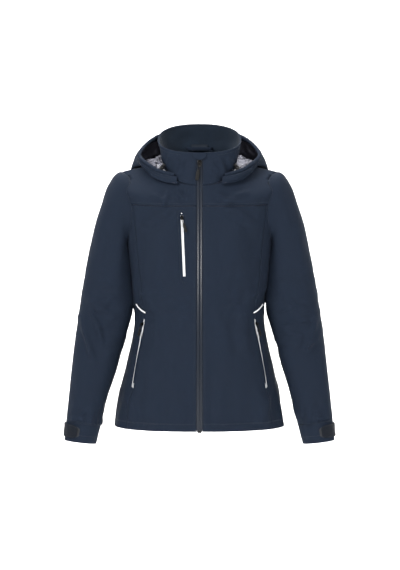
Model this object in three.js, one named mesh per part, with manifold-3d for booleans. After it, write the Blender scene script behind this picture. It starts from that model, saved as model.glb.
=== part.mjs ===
// A women's foul weather jacket with its hood lying back, as a three.js scene graph.
// Millimetres, +Z up, the front faces -Y, +X is the wearer's left. The origin is the centre of the
// neck opening, level with the points where the shoulder lines meet the collar.
import * as THREE from "three";
import { mergeVertices } from "three/addons/utils/BufferGeometryUtils.js";
import Module from "manifold-3d";

const wasm = await Module();
wasm.setup();

// ---------------------------------------------------------------- driving dimensions

const BODY = {
  length: 657, // neck point to hem
  fullness: 2.35, // exponent of the superelliptic cross sections
  neckWidth: 168,
  neckBackDepth: 70,
  neckFrontDrop: 50,
  neckBackRise: 12,
  shoulderWidth: 396,
  shoulderDrop: 31,
  chestWidth: 370,
  chestBackDepth: 110,
  chestDrop: 160,
  waistWidth: 319,
  waistBackDepth: 82,
  waistDrop: 385,
  hemWidth: 418,
  hemBackDepth: 116,
  hemSideRise: 7, // the hem's sides over its front
  bustFullness: 11,
  bustSpacing: 170,
  bustDrop: 195,
  yokeDrop: 101, // height of the seam across the chest and the back
};

const FRONT_LINE = { topDepth: 78, bottomDepth: 126, bulge: 27 }; // the main zip's arc, seen from the side

const COLLAR = { width: 206, backDepth: 78, frontRise: 28, sideRise: 52, backRise: 85 };

const CLOTH = {
  shell: 1.6, // face fabric with its membrane
  lining: 0.8,
  air: 3.2, // between the shell and the lining
  seam: 0.5, // half of the gap where two panels meet
};

const SLEEVE = {
  length: 652, // shoulder point to the cuff's edge, down the outside
  armholeDepth: 173,
  armholeThickness: 124,
  elbowWidth: 131,
  elbowThickness: 124,
  cuffWidth: 78,
  cuffThickness: 88,
  cuffHeight: 48,
};

const HOOD = {
  restsAbove: 5.5, // clearance over the yoke that it lies on
  shell: 1.5,
  lining: 0.8,
  air: 1.2,
  rimRadius: 4,
};

const MAIN_ZIP = {
  opening: 15, // between the folded edges of the front panels
  topGap: 26, // from the collar's top edge down to the parked slider
  bottomGap: 9, // from the hem up to the slider's lowest place
  slider: { width: 11.5, length: 16, plate: 1.5 },
  pull: { length: 46, width: 9 },
};

const CHEST_ZIP = {
  top: [-44, -120], // across and up, on the chest
  bottom: [-37, -279],
  opening: 9,
  parkedBelowTop: 10,
  slider: { width: 6.6, length: 11, plate: 1.2 },
  pull: { length: 40, width: 6 },
};

const HAND_ZIP = {
  top: [137, -385],
  middle: [152, -465],
  bottom: [166, -548],
  opening: 9,
  parkedBelowTop: 10,
  slider: { width: 6.6, length: 11, plate: 1.2 },
  pull: { length: 34, width: 6 },
};

const FLAP = { half: 20, outside: -6.9, thickness: 1.2, seam: [11, 13] };

const TAPE = { thickness: 1, coil: 1.7, coilWidth: 2.4, clearance: 0.4, neck: 2.2 };

const CUFF_TAB = { length: 74, width: 28, thickness: 1.8, sewnAt: 28, patch: 1, lift: 0.6 };

const HANGER = { width: 66, reach: 13, band: 8, thickness: 1.6, rise: 22 };

const CORD = { radius: 1.3, hoodLockLength: 17, hoodLockRadius: 5.5, buttonTravel: 4 };

// The waist piping's ends and bend, across and up.
const PIPING = { width: 4, thickness: 1.4, lift: 0.9, from: [155, -347], bend: [147, -360], to: [132, -366] };

// The slider's ears and pin, and the eye of the pull that hangs on it.
const EAR = { spread: 2.7, thickness: 1, radius: 1.5, pin: 0.8 };
const PULL_EYE = { inside: 1.2, outside: 2.3, width: 3.8 };

const GARAGE = { width: 34, height: 17, lift: 0.8, thickness: 1.6 };

const BAG = { thickness: 1.4, wall: 2, lip: 0.45, below: 22 };

const LABEL = { width: 38, height: 18 };

const FACING_HEIGHT = 42; // of the doubled cloth inside the hem

const FOREARM_FORWARD = 34;

const FABRIC = new THREE.MeshStandardMaterial({ color: 0x2b3443, roughness: 0.82 });
const BRUSHED = new THREE.MeshStandardMaterial({ color: 0x232d39, roughness: 0.95 });
const TAFFETA = new THREE.MeshStandardMaterial({ color: 0x4a4950, roughness: 0.35 });
const COATED_TAPE = new THREE.MeshStandardMaterial({ color: 0x3a3d45, roughness: 0.3 });
const REFLECTIVE = new THREE.MeshStandardMaterial({ color: 0xe6e7ea, roughness: 0.45 });
const BLACK_METAL = new THREE.MeshStandardMaterial({ color: 0x17181b, roughness: 0.35, metalness: 0.9 });
const BLACK_RUBBER = new THREE.MeshStandardMaterial({ color: 0x16171a, roughness: 0.7 });
const HOOK_TAPE = new THREE.MeshStandardMaterial({ color: 0x15191f, roughness: 1 });

const { sin, cos, abs, max, min, sqrt, PI, sign } = Math;
const at = (x, y, z) => new THREE.Vector3(x, y, z);
const lerp = THREE.MathUtils.lerp;

// ---------------------------------------------------------------- splines and solids

// A value between the entries of a list, on a Catmull-Rom spline.
function along(list, place) {
  const last = list.length - 1;
  const i = min(max(Math.floor(place), 0), last - 1);
  const t = place - i;
  const [a, b, c, d] = [i - 1, i, i + 1, i + 2].map((k) => list[min(max(k, 0), last)]);
  return 0.5 * (2 * b + (c - a) * t + (2 * a - 5 * b + 4 * c - d) * t * t + (3 * b - a - 3 * c + d) * t ** 3);
}

// The outward normal of a surface(u, v) where u runs leftwards over the front and v runs down.
function normalOf(surface, u, v) {
  const step = 1e-3;
  const across = surface(u + step, v).sub(surface(u - step, v));
  const down = surface(u, v + step).sub(surface(u, v - step));
  return down.cross(across).normalize();
}

function offset(surface, distance) {
  return (u, v) => surface(u, v).addScaledVector(normalOf(surface, u, v), distance);
}

function solidOf(geometry) {
  const bare = geometry.index ? geometry.toNonIndexed() : geometry.clone();
  bare.deleteAttribute("normal");
  bare.deleteAttribute("uv");
  const merged = mergeVertices(bare, 1e-4);
  const solid = new wasm.Manifold(
    new wasm.Mesh({
      numProp: 3,
      vertProperties: new Float32Array(merged.attributes.position.array),
      triVerts: new Uint32Array(merged.index.array),
    }),
  );
  return solid;
}

function geometryOf(solid) {
  const mesh = solid.getMesh();
  const geometry = new THREE.BufferGeometry();
  geometry.setAttribute("position", new THREE.BufferAttribute(new Float32Array(mesh.vertProperties), 3));
  geometry.setIndex(new THREE.BufferAttribute(new Uint32Array(mesh.triVerts), 1));
  return geometry;
}

// The largest connected body of a solid: a cut leaves crumbs where two surfaces graze.
function largest(solid) {
  return solid.decompose().reduce((a, b) => (a.volume() > b.volume() ? a : b));
}

const cut = (geometry, ...cutters) =>
  geometryOf(largest(cutters.reduce((solid, cutter) => solid.subtract(cutter), solidOf(geometry))));

const join = (...geometries) => geometryOf(geometries.map(solidOf).reduce((a, b) => a.add(b)));

// A closed mesh from two sheets of points, outer[i][j] and inner[i][j]. The sheets are joined round
// their edges, or only at their ends where the first index runs round a tube.
function closedSheets(outer, inner, round = false) {
  const [m, n] = [outer.length, outer[0].length];
  const points = [...outer.flat(), ...inner.flat()];
  const id = (layer, i, j) => layer * m * n + (i % m) * n + j;
  const faces = [];
  const quad = (a, b, c, d) => faces.push(a, b, c, a, c, d);
  const spans = round ? m : m - 1;
  for (let i = 0; i < spans; i++) {
    for (let j = 0; j < n - 1; j++) {
      quad(id(0, i, j), id(0, i, j + 1), id(0, i + 1, j + 1), id(0, i + 1, j));
      quad(id(1, i, j), id(1, i + 1, j), id(1, i + 1, j + 1), id(1, i, j + 1));
    }
    quad(id(0, i, 0), id(0, i + 1, 0), id(1, i + 1, 0), id(1, i, 0));
    quad(id(0, i, n - 1), id(1, i, n - 1), id(1, i + 1, n - 1), id(0, i + 1, n - 1));
  }
  if (!round) {
    for (let j = 0; j < n - 1; j++) {
      quad(id(0, 0, j), id(1, 0, j), id(1, 0, j + 1), id(0, 0, j + 1));
      quad(id(0, m - 1, j), id(0, m - 1, j + 1), id(1, m - 1, j + 1), id(1, m - 1, j));
    }
  }
  const geometry = new THREE.BufferGeometry().setFromPoints(points);
  geometry.setIndex(faces);
  return facingOut(geometry);
}

function facingOut(geometry) {
  const p = geometry.attributes.position;
  const index = geometry.index.array;
  const corner = (k) => at(p.getX(index[k]), p.getY(index[k]), p.getZ(index[k]));
  let volume = 0;
  for (let k = 0; k < index.length; k += 3) volume += corner(k).dot(corner(k + 1).cross(corner(k + 2)));
  if (volume < 0) {
    for (let k = 0; k < index.length; k += 3) [index[k + 1], index[k + 2]] = [index[k + 2], index[k + 1]];
  }
  return geometry;
}

// A piece of cloth cut from a surface: place(p, q) gives the surface's own coordinates for p and q
// from 0 to 1, and the cloth lies between two distances from the surface.
function cloth(surface, place, across, down, outside, inside, round = false) {
  const sheet = (distance) => {
    const lifted = offset(surface, distance);
    return Array.from({ length: round ? across : across + 1 }, (_, i) =>
      Array.from({ length: down + 1 }, (_, j) => lifted(...place(i / across, j / down))),
    );
  };
  return closedSheets(sheet(outside), sheet(inside), round);
}

// ---------------------------------------------------------------- the front line

// The zip's arc lies in the middle plane. It is found from its two ends and its bulge.
const frontLine = (() => {
  const top = at(0, -FRONT_LINE.topDepth, COLLAR.frontRise);
  const bottom = at(0, -FRONT_LINE.bottomDepth, -BODY.length);
  const chord = bottom.clone().sub(top);
  const half = chord.length() / 2;
  const radius = (half * half + FRONT_LINE.bulge ** 2) / (2 * FRONT_LINE.bulge);
  const inward = at(0, -chord.z, chord.y).normalize();
  const centre = top.clone().lerp(bottom, 0.5).addScaledVector(inward, radius - FRONT_LINE.bulge);
  const depthAt = (z) => centre.y - sqrt(radius * radius - (z - centre.z) ** 2);
  return { top, bottom, radius, centre, depthAt };
})();

// ---------------------------------------------------------------- the body's surface

// Rings from the neck seam down to the hem: half width, back depth, and the height of the ring at
// the front, the side and the back.
const belowWaist = (share) => -lerp(BODY.waistDrop, BODY.length, share);
const level = (half, back, z) => ({ half, back, front: z, side: z, rear: z });
const chestHalf = BODY.chestWidth / 2;
const waistHalf = BODY.waistWidth / 2;
const hemHalf = BODY.hemWidth / 2;
const shoulderHalf = BODY.shoulderWidth / 2;
const neckHalf = BODY.neckWidth / 2;
const towardsWaist = (share) => ({
  half: lerp(chestHalf, waistHalf, share),
  back: lerp(BODY.chestBackDepth, BODY.waistBackDepth, share),
  z: -lerp(BODY.chestDrop, BODY.waistDrop, share),
});
const between = (share) => {
  const ring = towardsWaist(share);
  return level(ring.half, ring.back, ring.z);
};
const RINGS = [
  {
    half: neckHalf,
    back: BODY.neckBackDepth,
    front: -BODY.neckFrontDrop,
    side: 0,
    rear: BODY.neckBackRise,
  },
  {
    half: lerp(neckHalf, shoulderHalf, 0.44),
    back: lerp(BODY.neckBackDepth, BODY.chestBackDepth, 0.62),
    front: -lerp(BODY.neckFrontDrop, BODY.yokeDrop, 0.45),
    side: -BODY.shoulderDrop * 0.44,
    rear: -BODY.neckBackRise,
  },
  {
    half: shoulderHalf,
    back: lerp(BODY.neckBackDepth, BODY.chestBackDepth, 0.95),
    front: -lerp(BODY.neckFrontDrop, BODY.yokeDrop, 0.86),
    side: -BODY.shoulderDrop,
    rear: -BODY.shoulderDrop * 1.8,
  },
  {
    half: lerp(shoulderHalf, chestHalf, 0.42),
    back: BODY.chestBackDepth + 3,
    front: -lerp(BODY.yokeDrop, BODY.chestDrop, 0.3),
    side: -lerp(BODY.shoulderDrop, BODY.chestDrop, 0.36),
    rear: -lerp(BODY.shoulderDrop * 1.8, BODY.chestDrop, 0.5),
  },
  between(0),
  between(0.2),
  between(0.5),
  between(0.8),
  between(1),
  level(lerp(waistHalf, hemHalf, 0.13), lerp(BODY.waistBackDepth, BODY.hemBackDepth, 0.2), belowWaist(0.19)),
  level(lerp(waistHalf, hemHalf, 0.43), lerp(BODY.waistBackDepth, BODY.hemBackDepth, 0.54), belowWaist(0.43)),
  level(lerp(waistHalf, hemHalf, 0.75), lerp(BODY.waistBackDepth, BODY.hemBackDepth, 0.86), belowWaist(0.71)),
  {
    half: hemHalf,
    back: BODY.hemBackDepth,
    front: -BODY.length,
    side: -BODY.length + BODY.hemSideRise,
    rear: -BODY.length,
  },
];
const HEM = RINGS.length - 1;
const column = (name) => RINGS.map((ring) => ring[name]);
const [HALF, BACK, FRONT_Z, SIDE_Z, REAR_Z] = ["half", "back", "front", "side", "rear"].map(column);

// Unit superellipse: across is 1 at the wearer's left, ahead is 1 at the front.
function unitSection(angle) {
  const [s, c] = [sin(angle), cos(angle)];
  const reach = (abs(s) ** BODY.fullness + abs(c) ** BODY.fullness) ** (-1 / BODY.fullness);
  return { across: s * reach, ahead: c * reach };
}

// The angle whose unit section lies a share of the half width off the middle.
function angleAcross(share) {
  const s = abs(share);
  return sign(share) * Math.atan(s / (1 - s ** BODY.fullness) ** (1 / BODY.fullness));
}

function bust(x, z) {
  const sideways = (abs(x) - BODY.bustSpacing / 2) / 38;
  const upwards = (z + BODY.bustDrop) / 70;
  return BODY.bustFullness * Math.exp(-sideways * sideways - upwards * upwards);
}

function ringPoint(angle, half, back, front, side, rear, frontDepth) {
  const { across, ahead } = unitSection(angle);
  const z = side + (front - side) * max(ahead, 0) + (rear - side) * max(-ahead, 0);
  const x = half * across;
  const y = ahead > 0 ? -frontDepth * ahead : -back * ahead;
  return at(x, y, z);
}

// angle runs round from the front, v counts the rings from the neck seam to the hem.
function torso(angle, v) {
  const front = along(FRONT_Z, v);
  const p = ringPoint(
    angle,
    along(HALF, v),
    along(BACK, v),
    front,
    along(SIDE_Z, v),
    along(REAR_Z, v),
    -frontLine.depthAt(front),
  );
  if (cos(angle) > 0) p.y -= bust(p.x, p.z);
  return p;
}

// The ring coordinate where a meridian passes a height.
function ringAt(angle, z) {
  let [high, low] = [0, HEM];
  for (let i = 0; i < 30; i++) {
    const middle = (high + low) / 2;
    if (torso(angle, middle).z > z) high = middle;
    else low = middle;
  }
  return (high + low) / 2;
}

// The surface's coordinates at a place on the front, given across and up.
function frontPlace(x, z) {
  let angle = angleAcross(x / (BODY.chestWidth / 2));
  let v = ringAt(angle, z);
  for (let i = 0; i < 8; i++) {
    angle = angleAcross(x / along(HALF, v));
    v = ringAt(angle, z);
  }
  return [angle, v];
}

// ---------------------------------------------------------------- the collar's surface

// angle as on the body, t from the neck seam to the top edge.
function collar(angle, t) {
  const lift = sin(t * PI) * 2.5;
  const front = lerp(-BODY.neckFrontDrop, COLLAR.frontRise, t);
  return ringPoint(
    angle,
    lerp(neckHalf, COLLAR.width / 2, t) + lift,
    lerp(BODY.neckBackDepth, COLLAR.backDepth, t) + lift,
    front,
    lerp(0, COLLAR.sideRise, t),
    lerp(BODY.neckBackRise, COLLAR.backRise, t),
    -frontLine.depthAt(front),
  );
}
// t rises, so its normal is turned to point away from the neck.
const collarDown = (angle, down) => collar(angle, 1 - down);

// ---------------------------------------------------------------- the sleeve's surface

// Rings from the armhole to the cuff of the left sleeve: the outer and the inner point of each ring
// and its half thickness. The forearm hangs forward and away from the body.
const shoulderPoint = [shoulderHalf - 2, -BODY.shoulderDrop + 6];
const stretch = SLEEVE.length / 652;
const down = (z) => -BODY.shoulderDrop + (z + BODY.shoulderDrop) * stretch;
const elbowInner = waistHalf + 4;
const cuffOuter = shoulderHalf + 134;
const SLEEVE_RINGS = [
  {
    outer: [shoulderHalf - 52, shoulderPoint[1] - 24],
    inner: [shoulderHalf - 66, shoulderPoint[1] - SLEEVE.armholeDepth + 8],
    thick: 0,
  },
  { outer: shoulderPoint, inner: [shoulderHalf - 26, shoulderPoint[1] - SLEEVE.armholeDepth], thick: 0 },
  { outer: [shoulderHalf + 30, down(-58)], inner: [chestHalf - 8, down(-230)], thick: 0.1 },
  { outer: [shoulderHalf + 46, down(-108)], inner: [chestHalf - 8.5, down(-252)], thick: 0.14 },
  { outer: [shoulderHalf + 60, down(-160)], inner: [chestHalf - 10.5, down(-277)], thick: 0.2 },
  { outer: [shoulderHalf + 74, down(-222)], inner: [chestHalf - 13.5, down(-306)], thick: 0.4 },
  { outer: [shoulderHalf + 86, down(-285)], inner: [elbowInner + 4.5, down(-334)], thick: 0.7 },
  { outer: [elbowInner + SLEEVE.elbowWidth, down(-350)], inner: [elbowInner, down(-366)], thick: 1 },
  { outer: [cuffOuter - 30.5, down(-397)], inner: [elbowInner + 13, down(-413)], thick: 1.15 },
  { outer: [cuffOuter - 24, down(-447)], inner: [elbowInner + 28, down(-465)], thick: 1.3 },
  { outer: [cuffOuter - 17.5, down(-507)], inner: [elbowInner + 45, down(-526)], thick: 1.48 },
  { outer: [cuffOuter - 11.5, down(-566)], inner: [elbowInner + 62, down(-584)], thick: 1.66 },
  { outer: [cuffOuter - 5, down(-626)], inner: [cuffOuter - 92, down(-640)], thick: 1.84 },
  { outer: [cuffOuter, down(-684)], inner: [cuffOuter - SLEEVE.cuffWidth, down(-693)], thick: 2 },
];
const CUFF = SLEEVE_RINGS.length - 1;
// Half thickness at a place counted in halves: armhole 0, elbow 1, cuff 2.
const thickness = (place) =>
  along([SLEEVE.armholeThickness, SLEEVE.elbowThickness, SLEEVE.cuffThickness], place) / 2;
const sleeveColumn = (pick) => SLEEVE_RINGS.map(pick);
const OUTER_X = sleeveColumn((ring) => ring.outer[0]);
const OUTER_Z = sleeveColumn((ring) => ring.outer[1]);
const INNER_X = sleeveColumn((ring) => ring.inner[0]);
const INNER_Z = sleeveColumn((ring) => ring.inner[1]);
const THICK = sleeveColumn((ring) => thickness(ring.thick));

// angle 0 is the outside of the arm and a quarter turn the back; s counts the rings down the arm.
function sleeveLeft(angle, s) {
  const outer = at(along(OUTER_X, s), 0, along(OUTER_Z, s));
  const inner = at(along(INNER_X, s), 0, along(INNER_Z, s));
  const { across, ahead } = unitSection(angle);
  const forward = FOREARM_FORWARD * THREE.MathUtils.smoothstep(s, CUFF * 0.35, CUFF * 1.05);
  const point = outer.clone().lerp(inner, 0.5).addScaledVector(outer.clone().sub(inner), ahead / 2);
  return point.add(at(0, along(THICK, s) * across - forward, 0));
}
const mirrored = (surface) => (u, v) => surface(-u, v).multiply(at(-1, 1, 1));
const SIDES = [
  { name: "left", hand: 1, sleeve: sleeveLeft },
  { name: "right", hand: -1, sleeve: mirrored(sleeveLeft) },
];

// The share of the sleeve's rings that lies above the cuff.
const ringLength = SLEEVE.length / (CUFF - 1);
const cuffStart = CUFF - SLEEVE.cuffHeight / ringLength;

// A solid tube along the sleeve, a distance off its surface, from inside the body to the cuff.
function sleeveCore(sleeve, distance) {
  const skin = offset(sleeve, distance);
  const [around, rows] = [16, 26];
  const rings = [];
  for (let j = 0; j <= rows; j++) {
    rings.push(Array.from({ length: around }, (_, i) => skin((i / around) * 2 * PI, (j / rows) * CUFF)));
  }
  return capped(rings);
}

// A closed solid through a stack of rings, each end closed by a fan.
function capped(rings) {
  const n = rings[0].length;
  const points = rings.flat();
  const faces = [];
  for (let j = 0; j < rings.length - 1; j++) {
    for (let i = 0; i < n; i++) {
      const [a, b] = [j * n + i, j * n + ((i + 1) % n)];
      faces.push(a, b, b + n, a, b + n, a + n);
    }
  }
  const middle = (ring) => ring.reduce((sum, p) => sum.add(p), at(0, 0, 0)).divideScalar(n);
  const [first, last] = [points.length, points.length + 1];
  points.push(middle(rings[0]), middle(rings[rings.length - 1]));
  const end = (rings.length - 1) * n;
  for (let i = 0; i < n; i++) {
    const next = (i + 1) % n;
    faces.push(first, next, i, last, end + i, end + next);
  }
  const geometry = new THREE.BufferGeometry().setFromPoints(points);
  geometry.setIndex(faces);
  return facingOut(geometry);
}

// The whole body as one solid, a distance off its surface.
function bodySolid(distance) {
  const skin = offset(torso, distance);
  const around = 72;
  const rows = 3 * HEM;
  return solidOf(
    capped(
      Array.from({ length: rows + 1 }, (_, j) =>
        Array.from({ length: around }, (_, i) => skin((i / around) * 2 * PI, (j / rows) * HEM)),
      ),
    ),
  );
}

// ---------------------------------------------------------------- the hood's surface

// The hood is a pouch round the collar. Its under layer lies on the yoke from the neck seam to a
// fold, and its outer layer rises from the fold to the rim. Both follow stations from its front tip
// round to the middle of the back, and one beyond it, as angles on the body.
const HOOD_ANGLES = [0.17, 0.31, 0.5, 0.68, 0.84, 1, 1.16].map((turns) => turns * PI);
const FOLD_RINGS = [0.3, 0.74, 1.12, 1.75, 2.6, 3, 2.6];
const RIM = [
  at(54, -84, -31),
  at(107, -58, -19),
  at(147, -4, 10),
  at(134, 56, 34),
  at(84, 106, 55),
  at(0, 124, 60),
  at(-84, 106, 55),
];
const BELLY = [3, 3, 5, 18, 36, 44, 36];

// turn goes from -1 at the right tip through 0 at the back to 1 at the left tip; t runs from the
// neck seam (0) over the fold (a half) to the rim (1).
function hood(turn, t) {
  const station = (1 - abs(turn)) * (HOOD_ANGLES.length - 2);
  const hand = turn < 0 ? -1 : 1;
  const angle = along(HOOD_ANGLES, station);
  const foldRing = along(FOLD_RINGS, station);
  const resting = offset(torso, HOOD.restsAbove + HOOD.shell);
  const point = at(0, 0, 0);
  if (t < 0.5) {
    point.copy(resting(angle, lerp(0.14, foldRing, t * 2)));
  } else {
    const fold = resting(angle, foldRing);
    const rim = at(...["x", "y", "z"].map((axis) => along(RIM.map((p) => p[axis]), station)));
    const outward = normalOf(torso, angle, foldRing);
    const belly = fold.clone().lerp(rim, 0.4).addScaledVector(outward, along(BELLY, station));
    const s = (t - 0.5) * 2;
    point
      .addScaledVector(fold, (1 - s) ** 2)
      .addScaledVector(belly, 2 * s * (1 - s))
      .addScaledVector(rim, s * s);
  }
  point.x *= hand;
  return point;
}

// ---------------------------------------------------------------- zip tracks

// A circular arc through three points, with the outward side of the cloth at its middle. Its frame
// at a share of the arc has x across the zip, y out of the cloth and z up the zip.
class ArcTrack {
  constructor(start, middle, end, outward) {
    const [a, b] = [middle.clone().sub(start), end.clone().sub(start)];
    this.axis = a.clone().cross(b).normalize();
    const cross = a.clone().cross(b);
    const toCentre = cross
      .clone()
      .cross(a)
      .multiplyScalar(b.lengthSq())
      .add(b.clone().cross(cross).multiplyScalar(a.lengthSq()))
      .divideScalar(2 * cross.lengthSq());
    this.centre = start.clone().add(toCentre);
    this.radius = toCentre.length();
    this.start = start;
    const [from, to] = [start, end].map((p) => p.clone().sub(this.centre));
    this.sweep = from.angleTo(to);
    this.length = this.radius * this.sweep;
    const half = this.axis.clone();
    const tangent = half.clone().cross(middle.clone().sub(this.centre)).normalize();
    const lifted = outward.clone().addScaledVector(tangent, -outward.dot(tangent)).normalize();
    const back = this.axis.clone();
    this.outwardAtStart = lifted.applyAxisAngle(back, -middle.clone().sub(this.centre).angleTo(from));
  }
  frame(distance) {
    const turn = distance / this.radius;
    const p = this.start.clone().sub(this.centre).applyAxisAngle(this.axis, turn);
    const up = this.axis.clone().cross(p).normalize().negate();
    const out = this.outwardAtStart.clone().applyAxisAngle(this.axis, turn);
    return new THREE.Matrix4()
      .makeBasis(out.clone().cross(up), out, up)
      .setPosition(p.add(this.centre));
  }
  // A band that follows the arc, with a rectangular section across and out of the cloth.
  band(from, to, across, out, step) {
    const count = max(2, Math.ceil((to - from) / step));
    const sheet = (height) =>
      Array.from({ length: count + 1 }, (_, i) => {
        const place = this.frame(lerp(from, to, i / count));
        return across.map((x) => at(x, height, 0).applyMatrix4(place));
      });
    return closedSheets(sheet(out[1]), sheet(out[0]));
  }
}

const mainTrack = new ArcTrack(
  frontLine.top,
  at(0, frontLine.depthAt(-BODY.length / 2), -BODY.length / 2),
  frontLine.bottom,
  at(0, -1, 0),
);
const onFront = (x, z) => {
  const place = frontPlace(x, z);
  return { point: torso(...place), out: normalOf(torso, ...place) };
};
function surfaceTrack(places) {
  const [start, middle, end] = places.map(([x, z]) => onFront(x, z));
  return new ArcTrack(start.point, middle.point, end.point, middle.out);
}
const midway = (a, b) => a.map((value, i) => (value + b[i]) / 2);
const chestTrack = surfaceTrack([CHEST_ZIP.top, midway(CHEST_ZIP.top, CHEST_ZIP.bottom), CHEST_ZIP.bottom]);
const handTracks = SIDES.map(({ hand }) =>
  surfaceTrack([HAND_ZIP.top, HAND_ZIP.middle, HAND_ZIP.bottom].map(([x, z]) => [x * hand, z])),
);

// ---------------------------------------------------------------- the group and its meshes

const jacket = new THREE.Group();
jacket.name = "foul_weather_jacket";

function add(name, geometry, material, place) {
  const mesh = new THREE.Mesh(geometry, material);
  mesh.name = name;
  if (place) mesh.applyMatrix4(place);
  jacket.add(mesh);
  return mesh;
}

// ---------------------------------------------------------------- body panels

const zipEdge = (v) => angleAcross(MAIN_ZIP.opening / 2 / along(HALF, v));
const SIDE_SEAM = 0.305 * PI; // from the front middle to the side panel, along the hand pocket
const BACK_SEAM = 0.7 * PI;
const seamAngle = (v) => CLOTH.seam / along(HALF, v);
const yokeRing = (angle) => ringAt(angle, -BODY.yokeDrop);
const ringGap = 0.02;

const cores = SIDES.map(({ sleeve }) => solidOf(sleeveCore(sleeve, -CLOTH.shell)));
const slot = (track, opening) =>
  solidOf(track.band(-opening / 2, track.length + opening / 2, [-opening / 2, opening / 2], [-9, 9], 12));
const chestSlot = slot(chestTrack, CHEST_ZIP.opening);
const handSlots = handTracks.map((track) => slot(track, HAND_ZIP.opening));

// A panel below the yoke between two meridians.
function lowerPanel(from, to, across, rows, outside = 0, inside = -CLOTH.shell, hem = HEM) {
  return cloth(
    torso,
    (p, q) => {
      const rough = lerp(from(6), to(6), p);
      const v = lerp(yokeRing(rough) + ringGap, hem, q);
      return [lerp(from(v), to(v), p), v];
    },
    across,
    rows,
    outside,
    inside,
  );
}
function upperPanel(from, to, across, rows) {
  return cloth(
    torso,
    (p, q) => {
      const rough = lerp(from(1), to(1), p);
      const v = lerp(ringGap * 2, yokeRing(rough) - ringGap, q);
      return [lerp(from(v), to(v), p), v];
    },
    across,
    rows,
    0,
    -CLOTH.shell,
  );
}

SIDES.forEach(({ name, hand }, i) => {
  const seamAt = (angle, side) => (v) => hand * (angle + side * seamAngle(v));
  const front = lowerPanel((v) => hand * zipEdge(v), seamAt(SIDE_SEAM, -1), 9, 11);
  const slots = hand < 0 ? [handSlots[i], chestSlot] : [handSlots[i]];
  add(`front_panel_${name}`, cut(front, cores[i], ...slots), FABRIC);
  const side = lowerPanel(seamAt(SIDE_SEAM, 1), seamAt(BACK_SEAM, -1), 8, 11);
  add(`side_panel_${name}`, cut(side, cores[i], handSlots[i]), FABRIC);
  const yoke = upperPanel((v) => hand * zipEdge(v), seamAt(PI / 2, -2.5), 8, 4);
  add(`front_yoke_${name}`, cut(yoke, cores[i]), FABRIC);
});
const backEdge = (angle, side) => (v) => angle + side * seamAngle(v);
const backPanel = lowerPanel(backEdge(BACK_SEAM, 1), backEdge(2 * PI - BACK_SEAM, -1), 12, 11);
add("back_panel", cut(backPanel, ...cores), FABRIC);
add("back_yoke", cut(upperPanel(backEdge(PI / 2, 2.5), backEdge(1.5 * PI, -2.5), 14, 4), ...cores), FABRIC);

// Everything inside the shell: the lining from the neck to the hem facing, and the facing itself.
const facingRing = ringAt(PI / 2, -BODY.length + FACING_HEIGHT);
const inFront = (edge) => (v) => angleAcross(edge / along(HALF, v));
const liningEdge = inFront(16);
const liningOutside = -CLOTH.shell - CLOTH.air;
add(
  "body_lining",
  cut(
    cloth(
      torso,
      (p, q) => {
        const v = lerp(0.25, facingRing, q);
        return [lerp(liningEdge(v), 2 * PI - liningEdge(v), p), v];
      },
      28,
      10,
      liningOutside,
      liningOutside - CLOTH.lining,
    ),
    ...cores,
    ...[chestTrack, ...handTracks].map((track) => slot(track, HAND_ZIP.opening + 8)),
  ),
  TAFFETA,
);
const facingDepth = FLAP.outside - FLAP.thickness - 0.6;
add(
  "hem_facing",
  cloth(
    torso,
    (p, q) => {
      const v = lerp(facingRing + 0.1, HEM - 0.02, q);
      return [lerp(liningEdge(v), 2 * PI - liningEdge(v), p), v];
    },
    28,
    2,
    facingDepth,
    facingDepth - CLOTH.shell,
  ),
  FABRIC,
);

// The elastic drawcord lies in the hem's channel, between the shell and the facing.
const hemCordDepth = offset(torso, facingDepth + 0.9 + CORD.radius);
const hemCordRing = ringAt(PI / 2, -BODY.length + FACING_HEIGHT / 3);
const hemCordPath = new THREE.CatmullRomCurve3(
  Array.from({ length: 25 }, (_, i) => hemCordDepth(lerp(0.2 * PI, 1.8 * PI, i / 24), hemCordRing)),
);
const roundSection = (radius, sides) => {
  const shape = new THREE.Shape();
  for (let i = 0; i < sides; i++) {
    const turn = (i / sides) * 2 * PI;
    shape[i ? "lineTo" : "moveTo"](radius * cos(turn), radius * sin(turn));
  }
  return shape;
};
const tube = (path, radius, sides, steps) =>
  new THREE.ExtrudeGeometry(roundSection(radius, sides), { steps, extrudePath: path, bevelEnabled: false });
add("hem_drawcord", tube(hemCordPath, CORD.radius, 8, 40), BLACK_RUBBER);

// ---------------------------------------------------------------- collar

const collarEdge = (t) => angleAcross(MAIN_ZIP.opening / 2 / lerp(neckHalf, COLLAR.width / 2, t));
const collarPlace = (bottom, top) => (p, q) => {
  const t = lerp(top, bottom, q);
  return [lerp(collarEdge(t), 2 * PI - collarEdge(t), p), 1 - t];
};
add("collar_outer", cloth(collarDown, collarPlace(0.02, 1), 28, 4, 0, -CLOTH.shell), FABRIC);
const collarInside = -CLOTH.shell - 1;
add(
  "collar_lining",
  cloth(collarDown, collarPlace(0.04, 0.985), 28, 4, collarInside, collarInside - CLOTH.shell),
  BRUSHED,
);

// The garage folds over the zip's top end in front of the collar.
const garageBottom = 1 - GARAGE.height / (COLLAR.frontRise + BODY.neckFrontDrop);
add(
  "zip_garage",
  cloth(
    collarDown,
    (p, q) => {
      const x = lerp(-GARAGE.width / 2, GARAGE.width / 2, p);
      const curved = garageBottom + (1 - garageBottom) * 0.45 * (2 * p - 1) ** 2;
      return [angleAcross(x / (COLLAR.width / 2)), 1 - lerp(1.01, curved, q)];
    },
    6,
    2,
    GARAGE.lift + GARAGE.thickness,
    GARAGE.lift,
  ),
  FABRIC,
);

// ---------------------------------------------------------------- hood

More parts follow.
